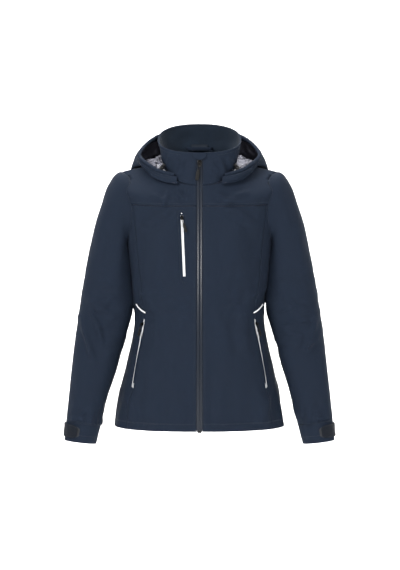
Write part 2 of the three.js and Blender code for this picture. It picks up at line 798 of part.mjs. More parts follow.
const hoodPlace = (first, last) => (p, q) => [lerp(-0.985, 0.985, p), lerp(first, last, q)];
add("hood_shell", cloth(hood, hoodPlace(0, 1), 28, 10, HOOD.shell, 0), FABRIC);
add(
  "hood_lining",
  cloth(hood, hoodPlace(0.02, 0.975), 28, 10, -HOOD.air, -HOOD.air - HOOD.lining),
  TAFFETA,
);
const rimLine = new THREE.CatmullRomCurve3(
  Array.from({ length: 29 }, (_, i) => {
    const turn = lerp(-0.96, 0.96, i / 28);
    const edge = hood(turn, 1);
    const onward = edge.clone().sub(hood(turn, 0.97)).normalize();
    return edge.addScaledVector(onward, HOOD.rimRadius + 1.6);
  }),
);
add("hood_rim", tube(rimLine, HOOD.rimRadius, 8, 36), FABRIC);

// ---------------------------------------------------------------- zips

const tapeHeights = [-TAPE.thickness / 2, TAPE.thickness / 2];
const coilTop = -TAPE.thickness / 2 - 0.3;
const halfNeck = TAPE.neck / 2 + 0.3;
const mainEnd = mainTrack.length - 4;
SIDES.forEach(({ name, hand }) => {
  const strip = (near, far) => [near, far].map((x) => -x * hand).sort((a, b) => a - b);
  const tapeEdge = MAIN_ZIP.opening / 2 - 0.4;
  add(
    `main_zip_tape_${name}`,
    mainTrack.band(2, mainEnd, strip(halfNeck, tapeEdge), tapeHeights, 30),
    COATED_TAPE,
  );
  const coilStrip = strip(halfNeck, halfNeck + TAPE.coilWidth);
  const coil = mainTrack.band(6, mainEnd - 8, coilStrip, [coilTop - TAPE.coil, coilTop], 30);
  add(`main_zip_coil_${name}`, coil, BLACK_RUBBER);
});

// A slider is two plates on a neck that runs between the two rows of the zip, with two ears and a pin.
function sliderGeometry({ width, length, plate }) {
  const outline = new THREE.Shape();
  outline.moveTo(-width * 0.36, -length / 2);
  outline.lineTo(width * 0.36, -length / 2);
  outline.lineTo(width / 2, length * 0.1);
  outline.lineTo(width * 0.3, length / 2);
  outline.lineTo(-width * 0.3, length / 2);
  outline.lineTo(-width / 2, length * 0.1);
  const bottomAt = coilTop - TAPE.coil - TAPE.clearance - plate;
  const topAt = TAPE.thickness / 2 + TAPE.clearance;
  const top = upright(outline, plate).translate(0, topAt, 0);
  const under = upright(outline, plate).translate(0, bottomAt, 0);
  const neckHeight = topAt - bottomAt;
  const neck = new THREE.BoxGeometry(TAPE.neck, neckHeight, length * 0.35);
  neck.translate(0, bottomAt + neckHeight / 2, length * 0.22);
  const pin = pinPlace({ plate });
  const ears = [-1, 1].map((side) => {
    const ear = new THREE.BoxGeometry(EAR.thickness, pin.y - topAt - plate + EAR.radius, 2 * EAR.radius + 1);
    return ear.translate(side * EAR.spread, (pin.y + topAt + plate + EAR.radius) / 2 - 0.1, pin.z);
  });
  const bar = new THREE.CylinderGeometry(EAR.pin, EAR.pin, 2 * EAR.spread, 10).rotateZ(PI / 2);
  bar.translate(0, pin.y, pin.z);
  return join(top, under, neck, ...ears, bar);
}
// The pin of the pull, in the slider's own frame.
function pinPlace({ plate }) {
  return at(0, TAPE.thickness / 2 + TAPE.clearance + plate + PULL_EYE.outside + 0.3, 0);
}
// A flat outline in x and z, made as thick as asked along y.
function upright(outline, depth) {
  const flat = new THREE.ExtrudeGeometry(outline, { depth, bevelEnabled: false, curveSegments: 6 });
  return flat.rotateX(-PI / 2);
}

// A pull hangs from an eye round the slider's pin: a narrow link, then a moulded grip.
function pullGeometry({ length, width }) {
  const eye = new THREE.Shape();
  eye.absarc(0, 0, PULL_EYE.outside, 0, 2 * PI);
  const bore = new THREE.Path();
  bore.absarc(0, 0, PULL_EYE.inside, 0, 2 * PI, true);
  eye.holes.push(bore);
  const ringShape = { depth: PULL_EYE.width, bevelEnabled: false, curveSegments: 6 };
  const ring = new THREE.ExtrudeGeometry(eye, ringShape);
  ring.translate(0, 0, -PULL_EYE.width / 2).rotateY(PI / 2);
  const linkEnd = length * 0.44;
  const link = new THREE.BoxGeometry(PULL_EYE.width, 1.4, linkEnd - PULL_EYE.inside - 0.4);
  link.translate(0, 0, -(linkEnd + PULL_EYE.inside + 0.4) / 2);
  const grip = new THREE.Shape();
  grip.moveTo(-width * 0.34, 0);
  grip.lineTo(width * 0.34, 0);
  grip.lineTo(width / 2, length * 0.4);
  grip.absarc(0, length * 0.56 - width / 2, width / 2, 0, PI, false);
  grip.lineTo(-width / 2, length * 0.4);
  const slab = new THREE.ExtrudeGeometry(grip, { depth: 3, bevelEnabled: false, curveSegments: 6 });
  slab.translate(0, 0, -1.5).rotateX(-PI / 2).translate(0, 0, -linkEnd + 0.5);
  return join(ring, link, slab);
}

// A slider on its track with its pull hanging from it. The pull's pin and axis are returned.
function addSliderAndPull(name, track, zip, parked) {
  const frame = track.frame(parked);
  const pin = pinPlace(zip.slider);
  add(`${name}_slider`, sliderGeometry(zip.slider), BLACK_METAL, frame);
  const hanging = frame.clone().multiply(new THREE.Matrix4().makeTranslation(pin.x, pin.y, pin.z));
  add(`${name}_pull`, pullGeometry(zip.pull), BLACK_RUBBER, hanging);
  const axis = at(1, 0, 0).transformDirection(frame);
  return { pin: pin.applyMatrix4(frame), axis };
}

const joints = {};
function zipJoint(name, track, zip, parked, travel) {
  const { pin, axis } = addSliderAndPull(name, track, zip, parked);
  joints[`${name}_zip_travel`] = {
    centre: track.centre.toArray(),
    axis: track.axis.toArray(),
    degrees: (travel / track.radius) * (180 / PI),
  };
  joints[`${name}_pull_swing`] = { centre: pin.toArray(), axis: axis.toArray() };
}
const mainParked = MAIN_ZIP.topGap;
zipJoint("main", mainTrack, MAIN_ZIP, mainParked, mainTrack.length - MAIN_ZIP.bottomGap - 14 - mainParked);

// The box at the zip's lower end takes the pin of the other side.
add(
  "main_zip_box",
  join(
    mainTrack.band(mainEnd + 0.5, mainEnd + 7, [-5, 5], [-3.4, 0.8], 10),
    mainTrack.band(mainEnd - 0.2, mainEnd + 1, [-0.9, 0.9], [-3, 0.5], 10),
  ),
  BLACK_METAL,
);

// The flap behind the zip turns back water and keeps the chin off it. One side is sewn to the front.
add(
  "storm_flap",
  join(
    mainTrack.band(0, mainEnd, [-FLAP.half, FLAP.half], [FLAP.outside - FLAP.thickness, FLAP.outside], 30),
    mainTrack.band(90, mainEnd - 4, FLAP.seam, [FLAP.outside - 0.4, -CLOTH.shell - 0.6], 30),
  ),
  FABRIC,
);

// A pocket's closed zip: its two coated tapes are one band with a groove for the slider's neck.
function pocketTape(track, opening) {
  const edge = opening / 2 - 0.4;
  const ends = [-opening / 2 + 0.5, track.length + opening / 2 - 0.5];
  const bar = [-edge + 0.5, edge - 0.5];
  const stop = tapeHeights.map((height) => height * 1.5);
  return join(
    track.band(...ends, [-edge, -halfNeck], tapeHeights, 14),
    track.band(...ends, [halfNeck, edge], tapeHeights, 14),
    track.band(ends[0] + 0.5, ends[0] + 2.5, bar, stop, 14),
    track.band(ends[1] - 2.5, ends[1] - 0.5, bar, stop, 14),
  );
}
add("chest_zip_tape", pocketTape(chestTrack, CHEST_ZIP.opening), REFLECTIVE);
const parkedAt = CHEST_ZIP.parkedBelowTop;
zipJoint("chest", chestTrack, CHEST_ZIP, parkedAt, chestTrack.length - 2 * parkedAt);
SIDES.forEach(({ name }, i) => {
  const track = handTracks[i];
  add(`hand_zip_tape_${name}`, pocketTape(track, HAND_ZIP.opening), REFLECTIVE);
  const parked = HAND_ZIP.parkedBelowTop;
  zipJoint(`hand_${name}`, track, HAND_ZIP, parked, track.length - 2 * parked);
});

// A pocket bag hangs behind its zip, towards the middle of the front, from a wall beside the zip.
const BAG_DEPTH = CLOTH.shell + 2 * CLOTH.air + CLOTH.lining + 2.2;
function pocketBag(track, zip, hand, side, farX) {
  const [top, bottom] = [zip.top, zip.bottom];
  const zipX = (z) => lerp(top[0], bottom[0], (z - top[1]) / (bottom[1] - top[1])) * hand;
  const place = (p, q) => {
    const z = lerp(top[1] - 6, bottom[1] - BAG.below, q);
    return frontPlace(lerp(farX, zipX(max(z, bottom[1])), p), z);
  };
  const bag = cloth(torso, place, 5, 5, -BAG_DEPTH, -BAG_DEPTH - BAG.thickness);
  const near = zip.opening / 2 - 0.8;
  const strip = (width) => [near, near + width].map((x) => x * side).sort((a, b) => a - b);
  const wall = track.band(8, track.length - 8, strip(BAG.wall), [-BAG_DEPTH - 1, -CLOTH.shell - 2.4], 14);
  const lipHeights = [-CLOTH.shell - 3, -TAPE.thickness / 2 - 0.35];
  const lip = track.band(8, track.length - 8, strip(BAG.lip), lipHeights, 14);
  return join(bag, wall, lip);
}
add("chest_pocket_bag", pocketBag(chestTrack, CHEST_ZIP, 1, 1, -115), TAFFETA);
SIDES.forEach(({ name, hand }, i) => {
  add(`hand_pocket_bag_${name}`, pocketBag(handTracks[i], HAND_ZIP, hand, hand, 60 * hand), TAFFETA);
});

// Reflective piping set into the waist seam, from under the arm to the hand pocket.
SIDES.forEach(({ name, hand }) => {
  const [a, b, c] = [PIPING.from, PIPING.bend, PIPING.to];
  const line = new THREE.QuadraticBezierCurve(...[a, b, c].map(([x, z]) => new THREE.Vector2(x, z)));
  const place = (p, q) => {
    const spot = line.getPoint(p);
    return frontPlace(spot.x * hand, spot.y + (q - 0.5) * -PIPING.width);
  };
  const strip = cloth(torso, place, 8, 1, PIPING.lift + PIPING.thickness, PIPING.lift);
  add(`waist_piping_${name}`, strip, REFLECTIVE);
});

// ---------------------------------------------------------------- sleeves

const bodyRoom = bodySolid(1.1);
const round = (first, last) => (p, q) => [p * 2 * PI, lerp(first, last, q)];
SIDES.forEach(({ name, sleeve }) => {
  const outer = cloth(sleeve, round(0, cuffStart - 0.005), 16, 14, 0, -CLOTH.shell, true);
  add(`sleeve_${name}`, cut(outer, bodyRoom), FABRIC);
  const skin = -CLOTH.shell - CLOTH.air;
  const lining = cloth(sleeve, round(0, CUFF - 0.35), 12, 10, skin - 3, skin - 3 - CLOTH.lining, true);
  add(`sleeve_lining_${name}`, cut(lining, bodyRoom), TAFFETA);
  add(`cuff_${name}`, cloth(sleeve, round(cuffStart + 0.005, CUFF), 16, 2, 0, -CLOTH.shell, true), FABRIC);
});

// The tab is sewn behind the outside of the cuff and closes on a loop patch on its front.
const tabMiddle = (cuffStart + CUFF) / 2 - 0.06;
SIDES.forEach(({ name, hand, sleeve }) => {
  const tabHalf = CUFF_TAB.width / 2 / ringLength;
  const halfGirth = PI * (SLEEVE.cuffWidth + SLEEVE.cuffThickness) * 0.25;
  const sewn = THREE.MathUtils.degToRad(CUFF_TAB.sewnAt);
  const end = sewn - (CUFF_TAB.length / halfGirth) * PI;
  const band = (from, to, half, low, high, columns) => {
    const place = (p, q) => {
      const taper = p > 0.85 ? 1 - (p - 0.85) * 2.4 : 1;
      return [hand * lerp(from, to, p), tabMiddle + (q - 0.5) * 2 * half * taper];
    };
    return cloth(sleeve, place, columns, 2, high, low);
  };
  const patchTop = 0.7 + CUFF_TAB.patch;
  add(`loop_patch_${name}`, band(sewn - 0.5, end - 0.12, tabHalf * 0.8, 0.7, patchTop, 8), HOOK_TAPE);
  const under = patchTop + CUFF_TAB.lift;
  add(`cuff_tab_${name}`, band(sewn, end, tabHalf, under, under + CUFF_TAB.thickness, 10), FABRIC);
  const [upper, lower] = [tabMiddle - 0.5, tabMiddle + 0.5].map((s) => sleeve(hand * sewn, s));
  const axis = upper.clone().sub(lower).normalize().multiplyScalar(hand);
  const hinge = offset(sleeve, under + CUFF_TAB.thickness)(hand * sewn, tabMiddle);
  joints[`cuff_tab_${name}_peel`] = { centre: hinge.toArray(), axis: axis.toArray() };
  joints[`shoulder_${name}_raise`] = {
    centre: [hand * (shoulderHalf + 1), 0, -BODY.shoulderDrop + 6],
    axis: [0, -hand, 0],
  };
});

// ---------------------------------------------------------------- neck and hood hardware

// The hanger loop stands off the collar's lining at the back.
const hangerOutline = new THREE.Shape();
const [loopHalf, band] = [HANGER.width / 2, HANGER.thickness];
hangerOutline.moveTo(-loopHalf, 0);
hangerOutline.lineTo(-loopHalf + 4, -HANGER.reach);
hangerOutline.lineTo(loopHalf - 4, -HANGER.reach);
hangerOutline.lineTo(loopHalf, 0);
hangerOutline.lineTo(loopHalf - band, 0);
hangerOutline.lineTo(loopHalf - 4 - band, -HANGER.reach + band);
hangerOutline.lineTo(-loopHalf + 4 + band, -HANGER.reach + band);
hangerOutline.lineTo(-loopHalf + band, 0);
const hanger = new THREE.ExtrudeGeometry(hangerOutline, { depth: HANGER.band, bevelEnabled: false });
const hangerShare = (HANGER.rise - BODY.neckBackRise) / (COLLAR.backRise - BODY.neckBackRise);
const hangerAngle = angleAcross(HANGER.width / COLLAR.width);
const hangerSeat = offset(collarDown, collarInside - CLOTH.shell - 1.7)(PI - hangerAngle, 1 - hangerShare);
add(
  "hanger_loop",
  hanger,
  FABRIC,
  new THREE.Matrix4().makeTranslation(0, hangerSeat.y, HANGER.rise),
);
const labelPlace = (p, q) => {
  const angle = PI + lerp(-1, 1, p) * angleAcross(LABEL.width / 2 / neckHalf);
  return [angle, 1 - lerp(0.1, 0.1 + LABEL.height / COLLAR.backRise, q)];
};
const labelDepth = collarInside - CLOTH.shell - 0.5;
add("neck_label", cloth(collarDown, labelPlace, 6, 2, labelDepth, labelDepth - 0.6), TAFFETA);

// Each end of the hood's elastic leaves the rim, runs through a cord lock in the hood's mouth and is
// sewn down at the neck seam.
SIDES.forEach(({ name, hand }) => {
  const lockAt = at(93 * hand, -52, -12.5);
  const towardsSeam = at(-0.72 * hand, -0.42, -0.55).normalize();
  const place = new THREE.Matrix4().makeBasis(...lockAxes(towardsSeam)).setPosition(lockAt);
  const half = CORD.hoodLockLength / 2;
  const barrel = new THREE.CylinderGeometry(CORD.hoodLockRadius, CORD.hoodLockRadius, 12, 14);
  const cordRoom = CORD.radius + 0.5;
  const through = new THREE.CylinderGeometry(cordRoom, cordRoom, 30, 10).rotateX(PI / 2);
  const well = new THREE.CylinderGeometry(3.6, 3.6, 14, 14).translate(0, 5, 0);
  add(`hood_lock_${name}`, cut(barrel, solidOf(through), solidOf(well)), BLACK_RUBBER, place);
  const travelRoom = CORD.radius + CORD.buttonTravel + 0.6;
  const fork = new THREE.BoxGeometry(2 * cordRoom, 2 * travelRoom, 20);
  const stem = cut(new THREE.CylinderGeometry(3.1, 3.1, 8, 14).translate(0, 6.6, 0), solidOf(fork));
  const cap = new THREE.CylinderGeometry(4.6, 4.6, 2.6, 14).translate(0, 6 + CORD.buttonTravel + 1.8, 0);
  add(`hood_button_${name}`, join(stem, cap), BLACK_RUBBER, place);
  joints[`hood_button_${name}_press`] = {
    axis: at(0, -1, 0).transformDirection(place).toArray(),
    travel: CORD.buttonTravel,
  };
  const cordPath = new THREE.CatmullRomCurve3(
    [at(0, 0, half + 8), at(0, 0, half), at(0, 0, 0), at(0, 0, -half), at(0, 0, -half - 9)].map((p) =>
      p.applyMatrix4(place),
    ),
  );
  add(`hood_cord_${name}`, tube(cordPath, CORD.radius, 8, 12), BLACK_RUBBER);
});

// A lock's own axes: its cord runs along z, its button moves along y, which leans up.
function lockAxes(alongCord) {
  const z = alongCord.clone().negate();
  const x = at(0, 0, 1).cross(z).normalize();
  return [x, z.clone().cross(x), z];
}

jacket.userData.joints = joints;

export default jacket;
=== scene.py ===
"""A women's foul weather jacket with its hood lying back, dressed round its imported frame.

Lengths in the code are millimetres unless a name says otherwise, and meshes are made in metres.
+Z is up, the front faces -Y and +X is the wearer's left.
"""

import math

import bmesh
import bpy
import numpy as np
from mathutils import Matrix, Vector
from mathutils.bvhtree import BVHTree


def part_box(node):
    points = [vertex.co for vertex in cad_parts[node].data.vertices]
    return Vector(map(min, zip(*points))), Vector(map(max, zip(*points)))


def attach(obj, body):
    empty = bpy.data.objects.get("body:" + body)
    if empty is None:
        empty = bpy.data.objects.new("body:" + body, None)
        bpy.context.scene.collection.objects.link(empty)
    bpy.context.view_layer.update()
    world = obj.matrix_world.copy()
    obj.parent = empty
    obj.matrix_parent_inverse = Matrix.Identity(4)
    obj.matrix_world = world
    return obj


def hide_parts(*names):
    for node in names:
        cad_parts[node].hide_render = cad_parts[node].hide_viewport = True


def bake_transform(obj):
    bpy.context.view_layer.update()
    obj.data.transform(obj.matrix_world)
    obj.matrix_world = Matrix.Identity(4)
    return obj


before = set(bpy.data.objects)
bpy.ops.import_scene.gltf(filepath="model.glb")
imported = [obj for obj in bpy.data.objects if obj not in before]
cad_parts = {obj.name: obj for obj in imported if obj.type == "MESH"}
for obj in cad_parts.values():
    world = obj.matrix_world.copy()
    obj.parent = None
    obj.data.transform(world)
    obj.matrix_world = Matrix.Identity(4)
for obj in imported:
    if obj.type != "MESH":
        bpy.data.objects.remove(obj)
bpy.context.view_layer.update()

bl_info = {
    "name": "Foul weather jacket",
    "version": (1, 0, 0),
    "blender": (4, 5, 0),
    "location": "View3D > Sidebar > Jacket",
    "description": "Builds a women's foul weather jacket from cloth sheets, zips and trims",
    "category": "Add Mesh",
}

MM = 0.001
PI = math.pi
SIDES = (("left", 1), ("right", -1))

# ------------------------------------------------------------------ sizes shared with the frame

FULLNESS = 2.35  # exponent of the superelliptic cross sections
LENGTH = 657
CHEST_HALF, NECK_HALF = 185, 84
YOKE_Z = -101
ZIP_OPENING = 15
SIDE_SEAM, BACK_SEAM = 0.305 * PI, 0.7 * PI
SHELL, LINING, AIR = 1.6, 0.8, 3.2
FACING_HEIGHT, FACING_DEPTH = 42, -8.7
COLLAR_HALF = 103
BUST_DEPTH, BUST_X, BUST_Z = 11, 85, -195
ARC_CENTRE_Y, ARC_CENTRE_Z, ARC_RADIUS = 2062.198, -466.152, 2196.5
SLEEVE_LENGTH, CUFF_HEIGHT = 652, 48
FOREARM_FORWARD = 34
HOOD_LIFT, HOOD_SHELL, HOOD_AIR = 5.5, 1.5, 1.2
CHEST_ZIP = ((-44, -120), (-40.5, -199.5), (-37, -279))
HAND_ZIP = ((137, -385), (152, -465), (166, -548))
PIPING = ((155, -347), (147, -360), (132, -366))
HAND_SLOT, CHEST_SLOT = 3.8, 6.0
CORD_RADIUS = 1.3

# Sewing: a stitch and its pitch, then how far rows lie from a seam, the hem and the open front.
STITCH, PITCH = 2.5, 3.6
NEAR_ROW, FAR_ROW = 2, 6.5
HEM_ROWS = (18, 20)
EDGE_ROWS = (1.6, 6)

# Rings of the body from the neck seam to the hem: half width, back depth, then the height at the
# front, the side and the back.
BODY_RINGS = np.array(
    [
        (84, 70, -50, 0, 12),
        (134.16, 94.8, -72.95, -13.64, -12),
        (198, 108, -93.86, -31, -55.8),
        (192.54, 113, -118.7, -77.44, -107.9),
        (185, 110, -160, -160, -160),
        (179.9, 104.4, -205, -205, -205),
        (172.25, 96, -272.5, -272.5, -272.5),
        (164.6, 87.6, -340, -340, -340),
        (159.5, 82, -385, -385, -385),
        (165.94, 88.8, -436.68, -436.68, -436.68),
        (180.79, 100.36, -501.96, -501.96, -501.96),
        (196.63, 111.24, -578.12, -578.12, -578.12),
        (209, 116, -657, -650, -657),
    ]
)
HEM = len(BODY_RINGS) - 1

# The left sleeve's rings from inside the armhole to the cuff: outer x and z, inner x and z, and
# the ring's place between armhole (0), elbow (1) and cuff (2) for its thickness.
SLEEVE_RINGS = np.array(
    [
        (146, -49, 132, -190, 0),
        (196, -25, 172, -198, 0),
        (228, -58, 177, -230, 0.1),
        (244, -108, 176.5, -252, 0.14),
        (258, -160, 174.5, -277, 0.2),
        (272, -222, 171.5, -306, 0.4),
        (284, -285, 168, -334, 0.7),
        (294.5, -350, 163.5, -366, 1),
        (301.5, -397, 176.5, -413, 1.15),
        (308, -447, 191.5, -465, 1.3),
        (314.5, -507, 208.5, -526, 1.48),
        (320.5, -566, 225.5, -584, 1.66),
        (327, -626, 240, -640, 1.84),
        (332, -684, 254, -693, 2),
    ]
)
SLEEVE_THICKNESS = (124, 124, 88)
CUFF = len(SLEEVE_RINGS) - 1
RING_LENGTH = SLEEVE_LENGTH / (CUFF - 1)
CUFF_START = CUFF - CUFF_HEIGHT / RING_LENGTH

# The hood's stations from its front tip to the middle of the back and one beyond.
HOOD_ANGLES = np.array((0.17, 0.31, 0.5, 0.68, 0.84, 1, 1.16)) * PI
HOOD_FOLD = (0.3, 0.74, 1.12, 1.75, 2.6, 3, 2.6)
HOOD_BELLY = (3, 3, 5, 18, 36, 44, 36)
HOOD_RIM = np.array(
    [
        (54, -84, -31),
        (107, -58, -19),
        (147, -4, 10),
        (134, 56, 34),
        (84, 106, 55),
        (0, 124, 60),
        (-84, 106, 55),
    ]
)

# ------------------------------------------------------------------ surfaces


def along(table, place):
    """Values between the entries of a table, on a Catmull-Rom spline."""
    table = np.asarray(table, float)
    place = np.asarray(place, float)
    last = len(table) - 1
    i = np.clip(np.floor(place).astype(int), 0, last - 1)
    t = place - i
    a, b, c, d = (table[np.clip(i + k, 0, last)] for k in (-1, 0, 1, 2))
    return 0.5 * (
        2 * b + (c - a) * t + (2 * a - 5 * b + 4 * c - d) * t * t + (3 * b - a - 3 * c + d) * t**3
    )


def mix(a, b, t):
    return a + (b - a) * t


def ramp(value, low, high):
    """0 below low, 1 above high, and smooth between."""
    t = np.clip((value - low) / (high - low), 0, 1)
    return t * t * (3 - 2 * t)


def unit(vectors):
    return vectors / np.maximum(np.linalg.norm(vectors, axis=-1, keepdims=True), 1e-12)


def section(angle):
    """A unit superellipse: 1 across at the wearer's left, 1 ahead at the front."""
    s, c = np.sin(angle), np.cos(angle)
    reach = (np.abs(s) ** FULLNESS + np.abs(c) ** FULLNESS) ** (-1 / FULLNESS)
    return s * reach, c * reach


def angle_across(share):
    """The angle whose section lies a share of the half width off the middle."""
    s = np.clip(np.abs(share), 0, 0.9999)
    return np.sign(share) * np.arctan(s / (1 - s**FULLNESS) ** (1 / FULLNESS))


def front_depth(z):
    """Where the zip's arc lies in the middle plane."""
    return ARC_CENTRE_Y - np.sqrt(ARC_RADIUS**2 - (z - ARC_CENTRE_Z) ** 2)


def ring_point(angle, half, back, front, side, rear):
    across, ahead = section(angle)
    z = side + (front - side) * np.maximum(ahead, 0) + (rear - side) * np.maximum(-ahead, 0)
    y = np.where(ahead > 0, front_depth(front) * ahead, -back * ahead)
    return np.stack([half * across, y, z], -1)


def torso(angle, v):
    """The body: angle from the front round to the left, v the ring from the neck to the hem."""
    angle, v = np.broadcast_arrays(np.asarray(angle, float), np.asarray(v, float))
    half, back, front, side, rear = (along(BODY_RINGS[:, k], v) for k in range(5))
    p = ring_point(angle, half, back, front, side, rear)
    sideways = (np.abs(p[..., 0]) - BUST_X) / 38
    upwards = (p[..., 2] - BUST_Z) / 70
    p[..., 1] -= np.where(np.cos(angle) > 0, BUST_DEPTH * np.exp(-(sideways**2) - upwards**2), 0)
    return p


def collar(angle, down):
    """The stand collar: down runs from its top edge (0) to the neck seam (1)."""
    t = 1 - np.asarray(down, float)
    lift = np.sin(t * PI) * 2.5
    half, back = mix(NECK_HALF, COLLAR_HALF, t) + lift, mix(70, 78, t) + lift
    return ring_point(angle, half, back, mix(-50, 28, t), mix(0, 52, t), mix(12, 85, t))


def sleeve_left(angle, s):
    """The left sleeve: angle 0 is the outside of the arm, a quarter turn the back."""
    angle, s = np.broadcast_arrays(np.asarray(angle, float), np.asarray(s, float))
    ox, oz, ix, iz = (along(SLEEVE_RINGS[:, k], s) for k in range(4))
    thick = along(along(SLEEVE_THICKNESS, SLEEVE_RINGS[:, 4]), s) / 2
    across, ahead = section(angle)
    forward = FOREARM_FORWARD * ramp(s, 0.35 * CUFF, 1.05 * CUFF)
    x = (ox + ix) / 2 + (ox - ix) * ahead / 2
    z = (oz + iz) / 2 + (oz - iz) * ahead / 2
    return np.stack([x, thick * across - forward, z], -1)


def sleeve(hand):
    """The sleeve of one side, with its angle turned so that its normals face out."""
    if hand > 0:
        return sleeve_left
    return lambda angle, s: sleeve_left(-np.asarray(angle), s) * (-1, 1, 1)


def hood(turn, t):
    """The hood's pouch: turn from the right tip (-1) to the left (1), t from neck seam to rim."""
    turn, t = np.broadcast_arrays(np.asarray(turn, float), np.asarray(t, float))
    station = (1 - np.abs(turn)) * (len(HOOD_ANGLES) - 2)
    angle, ring = along(HOOD_ANGLES, station), along(HOOD_FOLD, station)
    resting = offset(torso, HOOD_LIFT + HOOD_SHELL)
    under = resting(angle, mix(0.14, ring, np.minimum(t, 0.5) * 2))
    fold = resting(angle, ring)
    rim = np.stack([along(HOOD_RIM[:, k], station) for k in range(3)], -1)
    out = normal_of(torso, angle, ring)
    belly = fold + (rim - fold) * 0.4 + out * along(HOOD_BELLY, station)[..., None]
    s = (np.maximum(t, 0.5) * 2 - 1)[..., None]
    over = fold * (1 - s) ** 2 + belly * 2 * s * (1 - s) + rim * s * s
    p = np.where((t < 0.5)[..., None], under, over)
    p[..., 0] *= np.where(turn < 0, -1, 1)
    return p


def normal_of(surface, u, v):
    step = 1e-3
    across = surface(u + step, v) - surface(u - step, v)
    down = surface(u, v + step) - surface(u, v - step)
    return unit(np.cross(down, across))


def offset(surface, distance):
    return lambda u, v: surface(u, v) + normal_of(surface, u, v) * distance


def ring_at(angle, z):
    """The ring coordinate where a meridian passes a height."""
    high, low = np.zeros(np.shape(angle)), np.full(np.shape(angle), float(HEM))
    for _ in range(26):
        middle = (high + low) / 2
        above = torso(angle, middle)[..., 2] > z
        high, low = np.where(above, middle, high), np.where(above, low, middle)
    return (high + low) / 2


def front_place(x, z):
    """The body's own coordinates of places on its front, given across and up."""
    x, z = np.broadcast_arrays(np.asarray(x, float), np.asarray(z, float))
    angle = angle_across(x / CHEST_HALF)
    v = ring_at(angle, z)
    for _ in range(8):
        angle = angle_across(x / along(BODY_RINGS[:, 0], v))
        v = ring_at(angle, z)
    return angle, v


class Track:
    """A zip's arc through three points. Its frames have x across, y out of the cloth, z up."""

    def __init__(self, start, middle, end, outward):
        start, middle, end, outward = (np.array(p, float) for p in (start, middle, end, outward))
        a, b = middle - start, end - start
        cross = np.cross(a, b)
        self.axis = unit(cross)
        to_centre = np.cross(cross, a) * (b @ b) + np.cross(b, cross) * (a @ a)
        self.centre = start + to_centre / (2 * cross @ cross)
        self.start = start
        self.radius = np.linalg.norm(start - self.centre)
        self.length = self.radius * self.angle(start, end)
        tangent = unit(np.cross(self.axis, middle - self.centre))
        lifted = unit(outward - tangent * (outward @ tangent))
        self.out = self.turned(lifted, -self.angle(middle, start))

    def angle(self, p, q):
        p, q = unit(p - self.centre), unit(q - self.centre)
        return math.acos(np.clip(p @ q, -1, 1))

    def turned(self, vector, turn):
        c, s = np.cos(turn)[..., None], np.sin(turn)[..., None]
        axial = self.axis * (vector @ self.axis)
        return vector * c + np.cross(self.axis, vector) * s + axial * (1 - c)

    def frames(self, distance):
        """Origin, across, out and up at distances from the track's top."""
        turn = np.asarray(distance, float) / self.radius
        arm = self.turned(self.start - self.centre, turn)
        up = -unit(np.cross(self.axis, arm))
        out = self.turned(self.out, turn)
        return arm + self.centre, np.cross(out, up), out, up

    def place(self, distance, x, y, z=0.0):
        """Points given in the frames at some distances."""
        o, across, out, up = self.frames(distance)
        x, y, z = (np.asarray(k, float)[..., None] for k in (x, y, z))
        return o + across * x + out * y + up * z


def track_on_front(places):
    coordinates = [front_place(x, z) for x, z in places]
    points = [torso(*c) for c in coordinates]
    return Track(*points, normal_of(torso, *coordinates[1]))


MAIN = Track(
    (0, front_depth(28), 28),
    (0, front_depth(-LENGTH / 2), -LENGTH / 2),
    (0, front_depth(-LENGTH), -LENGTH),
    (0, -1, 0),
)
CHEST = track_on_front(CHEST_ZIP)
HANDS = {hand: track_on_front([(x * hand, z) for x, z in HAND_ZIP]) for _, hand in SIDES}

# ------------------------------------------------------------------ cloth relief


def waves(points, size, seed, stretch=(1, 1, 1), count=16):
    """A smooth random height of about -1 to 1, with folds of about the given size."""
    rng = np.random.default_rng(seed)
    directions = unit(rng.normal(size=(count, 3))) * (2 * PI / size)
    directions /= np.array(stretch, float)
    directions *= rng.uniform(0.7, 1.35, (count, 1))
    phase = rng.uniform(0, 2 * PI, count)
    return np.sin(points @ directions.T + phase).sum(-1) / math.sqrt(count / 1.4)


def creases(height):
    """Turns soft waves into narrow ridges with broad valleys."""
    return 1 - 2 * np.sqrt(np.abs(height) + 0.01)


def line_distance(points, line):
    """Distance of points to a line through places (x, z) on the front, and the share along it."""
    flat = points[..., (0, 2)]
    best, share = np.full(flat.shape[:-1], 1e9), np.zeros(flat.shape[:-1])
    line = np.array(line, float)
    for k, (a, b) in enumerate(zip(line[:-1], line[1:])):
        d = b - a
        t = np.clip(((flat - a) @ d) / (d @ d), 0, 1)
        far = np.linalg.norm(flat - a - t[..., None] * d, axis=-1)
        share = np.where(far < best, (k + t) / (len(line) - 1), share)
        best = np.minimum(best, far)
    return best, share


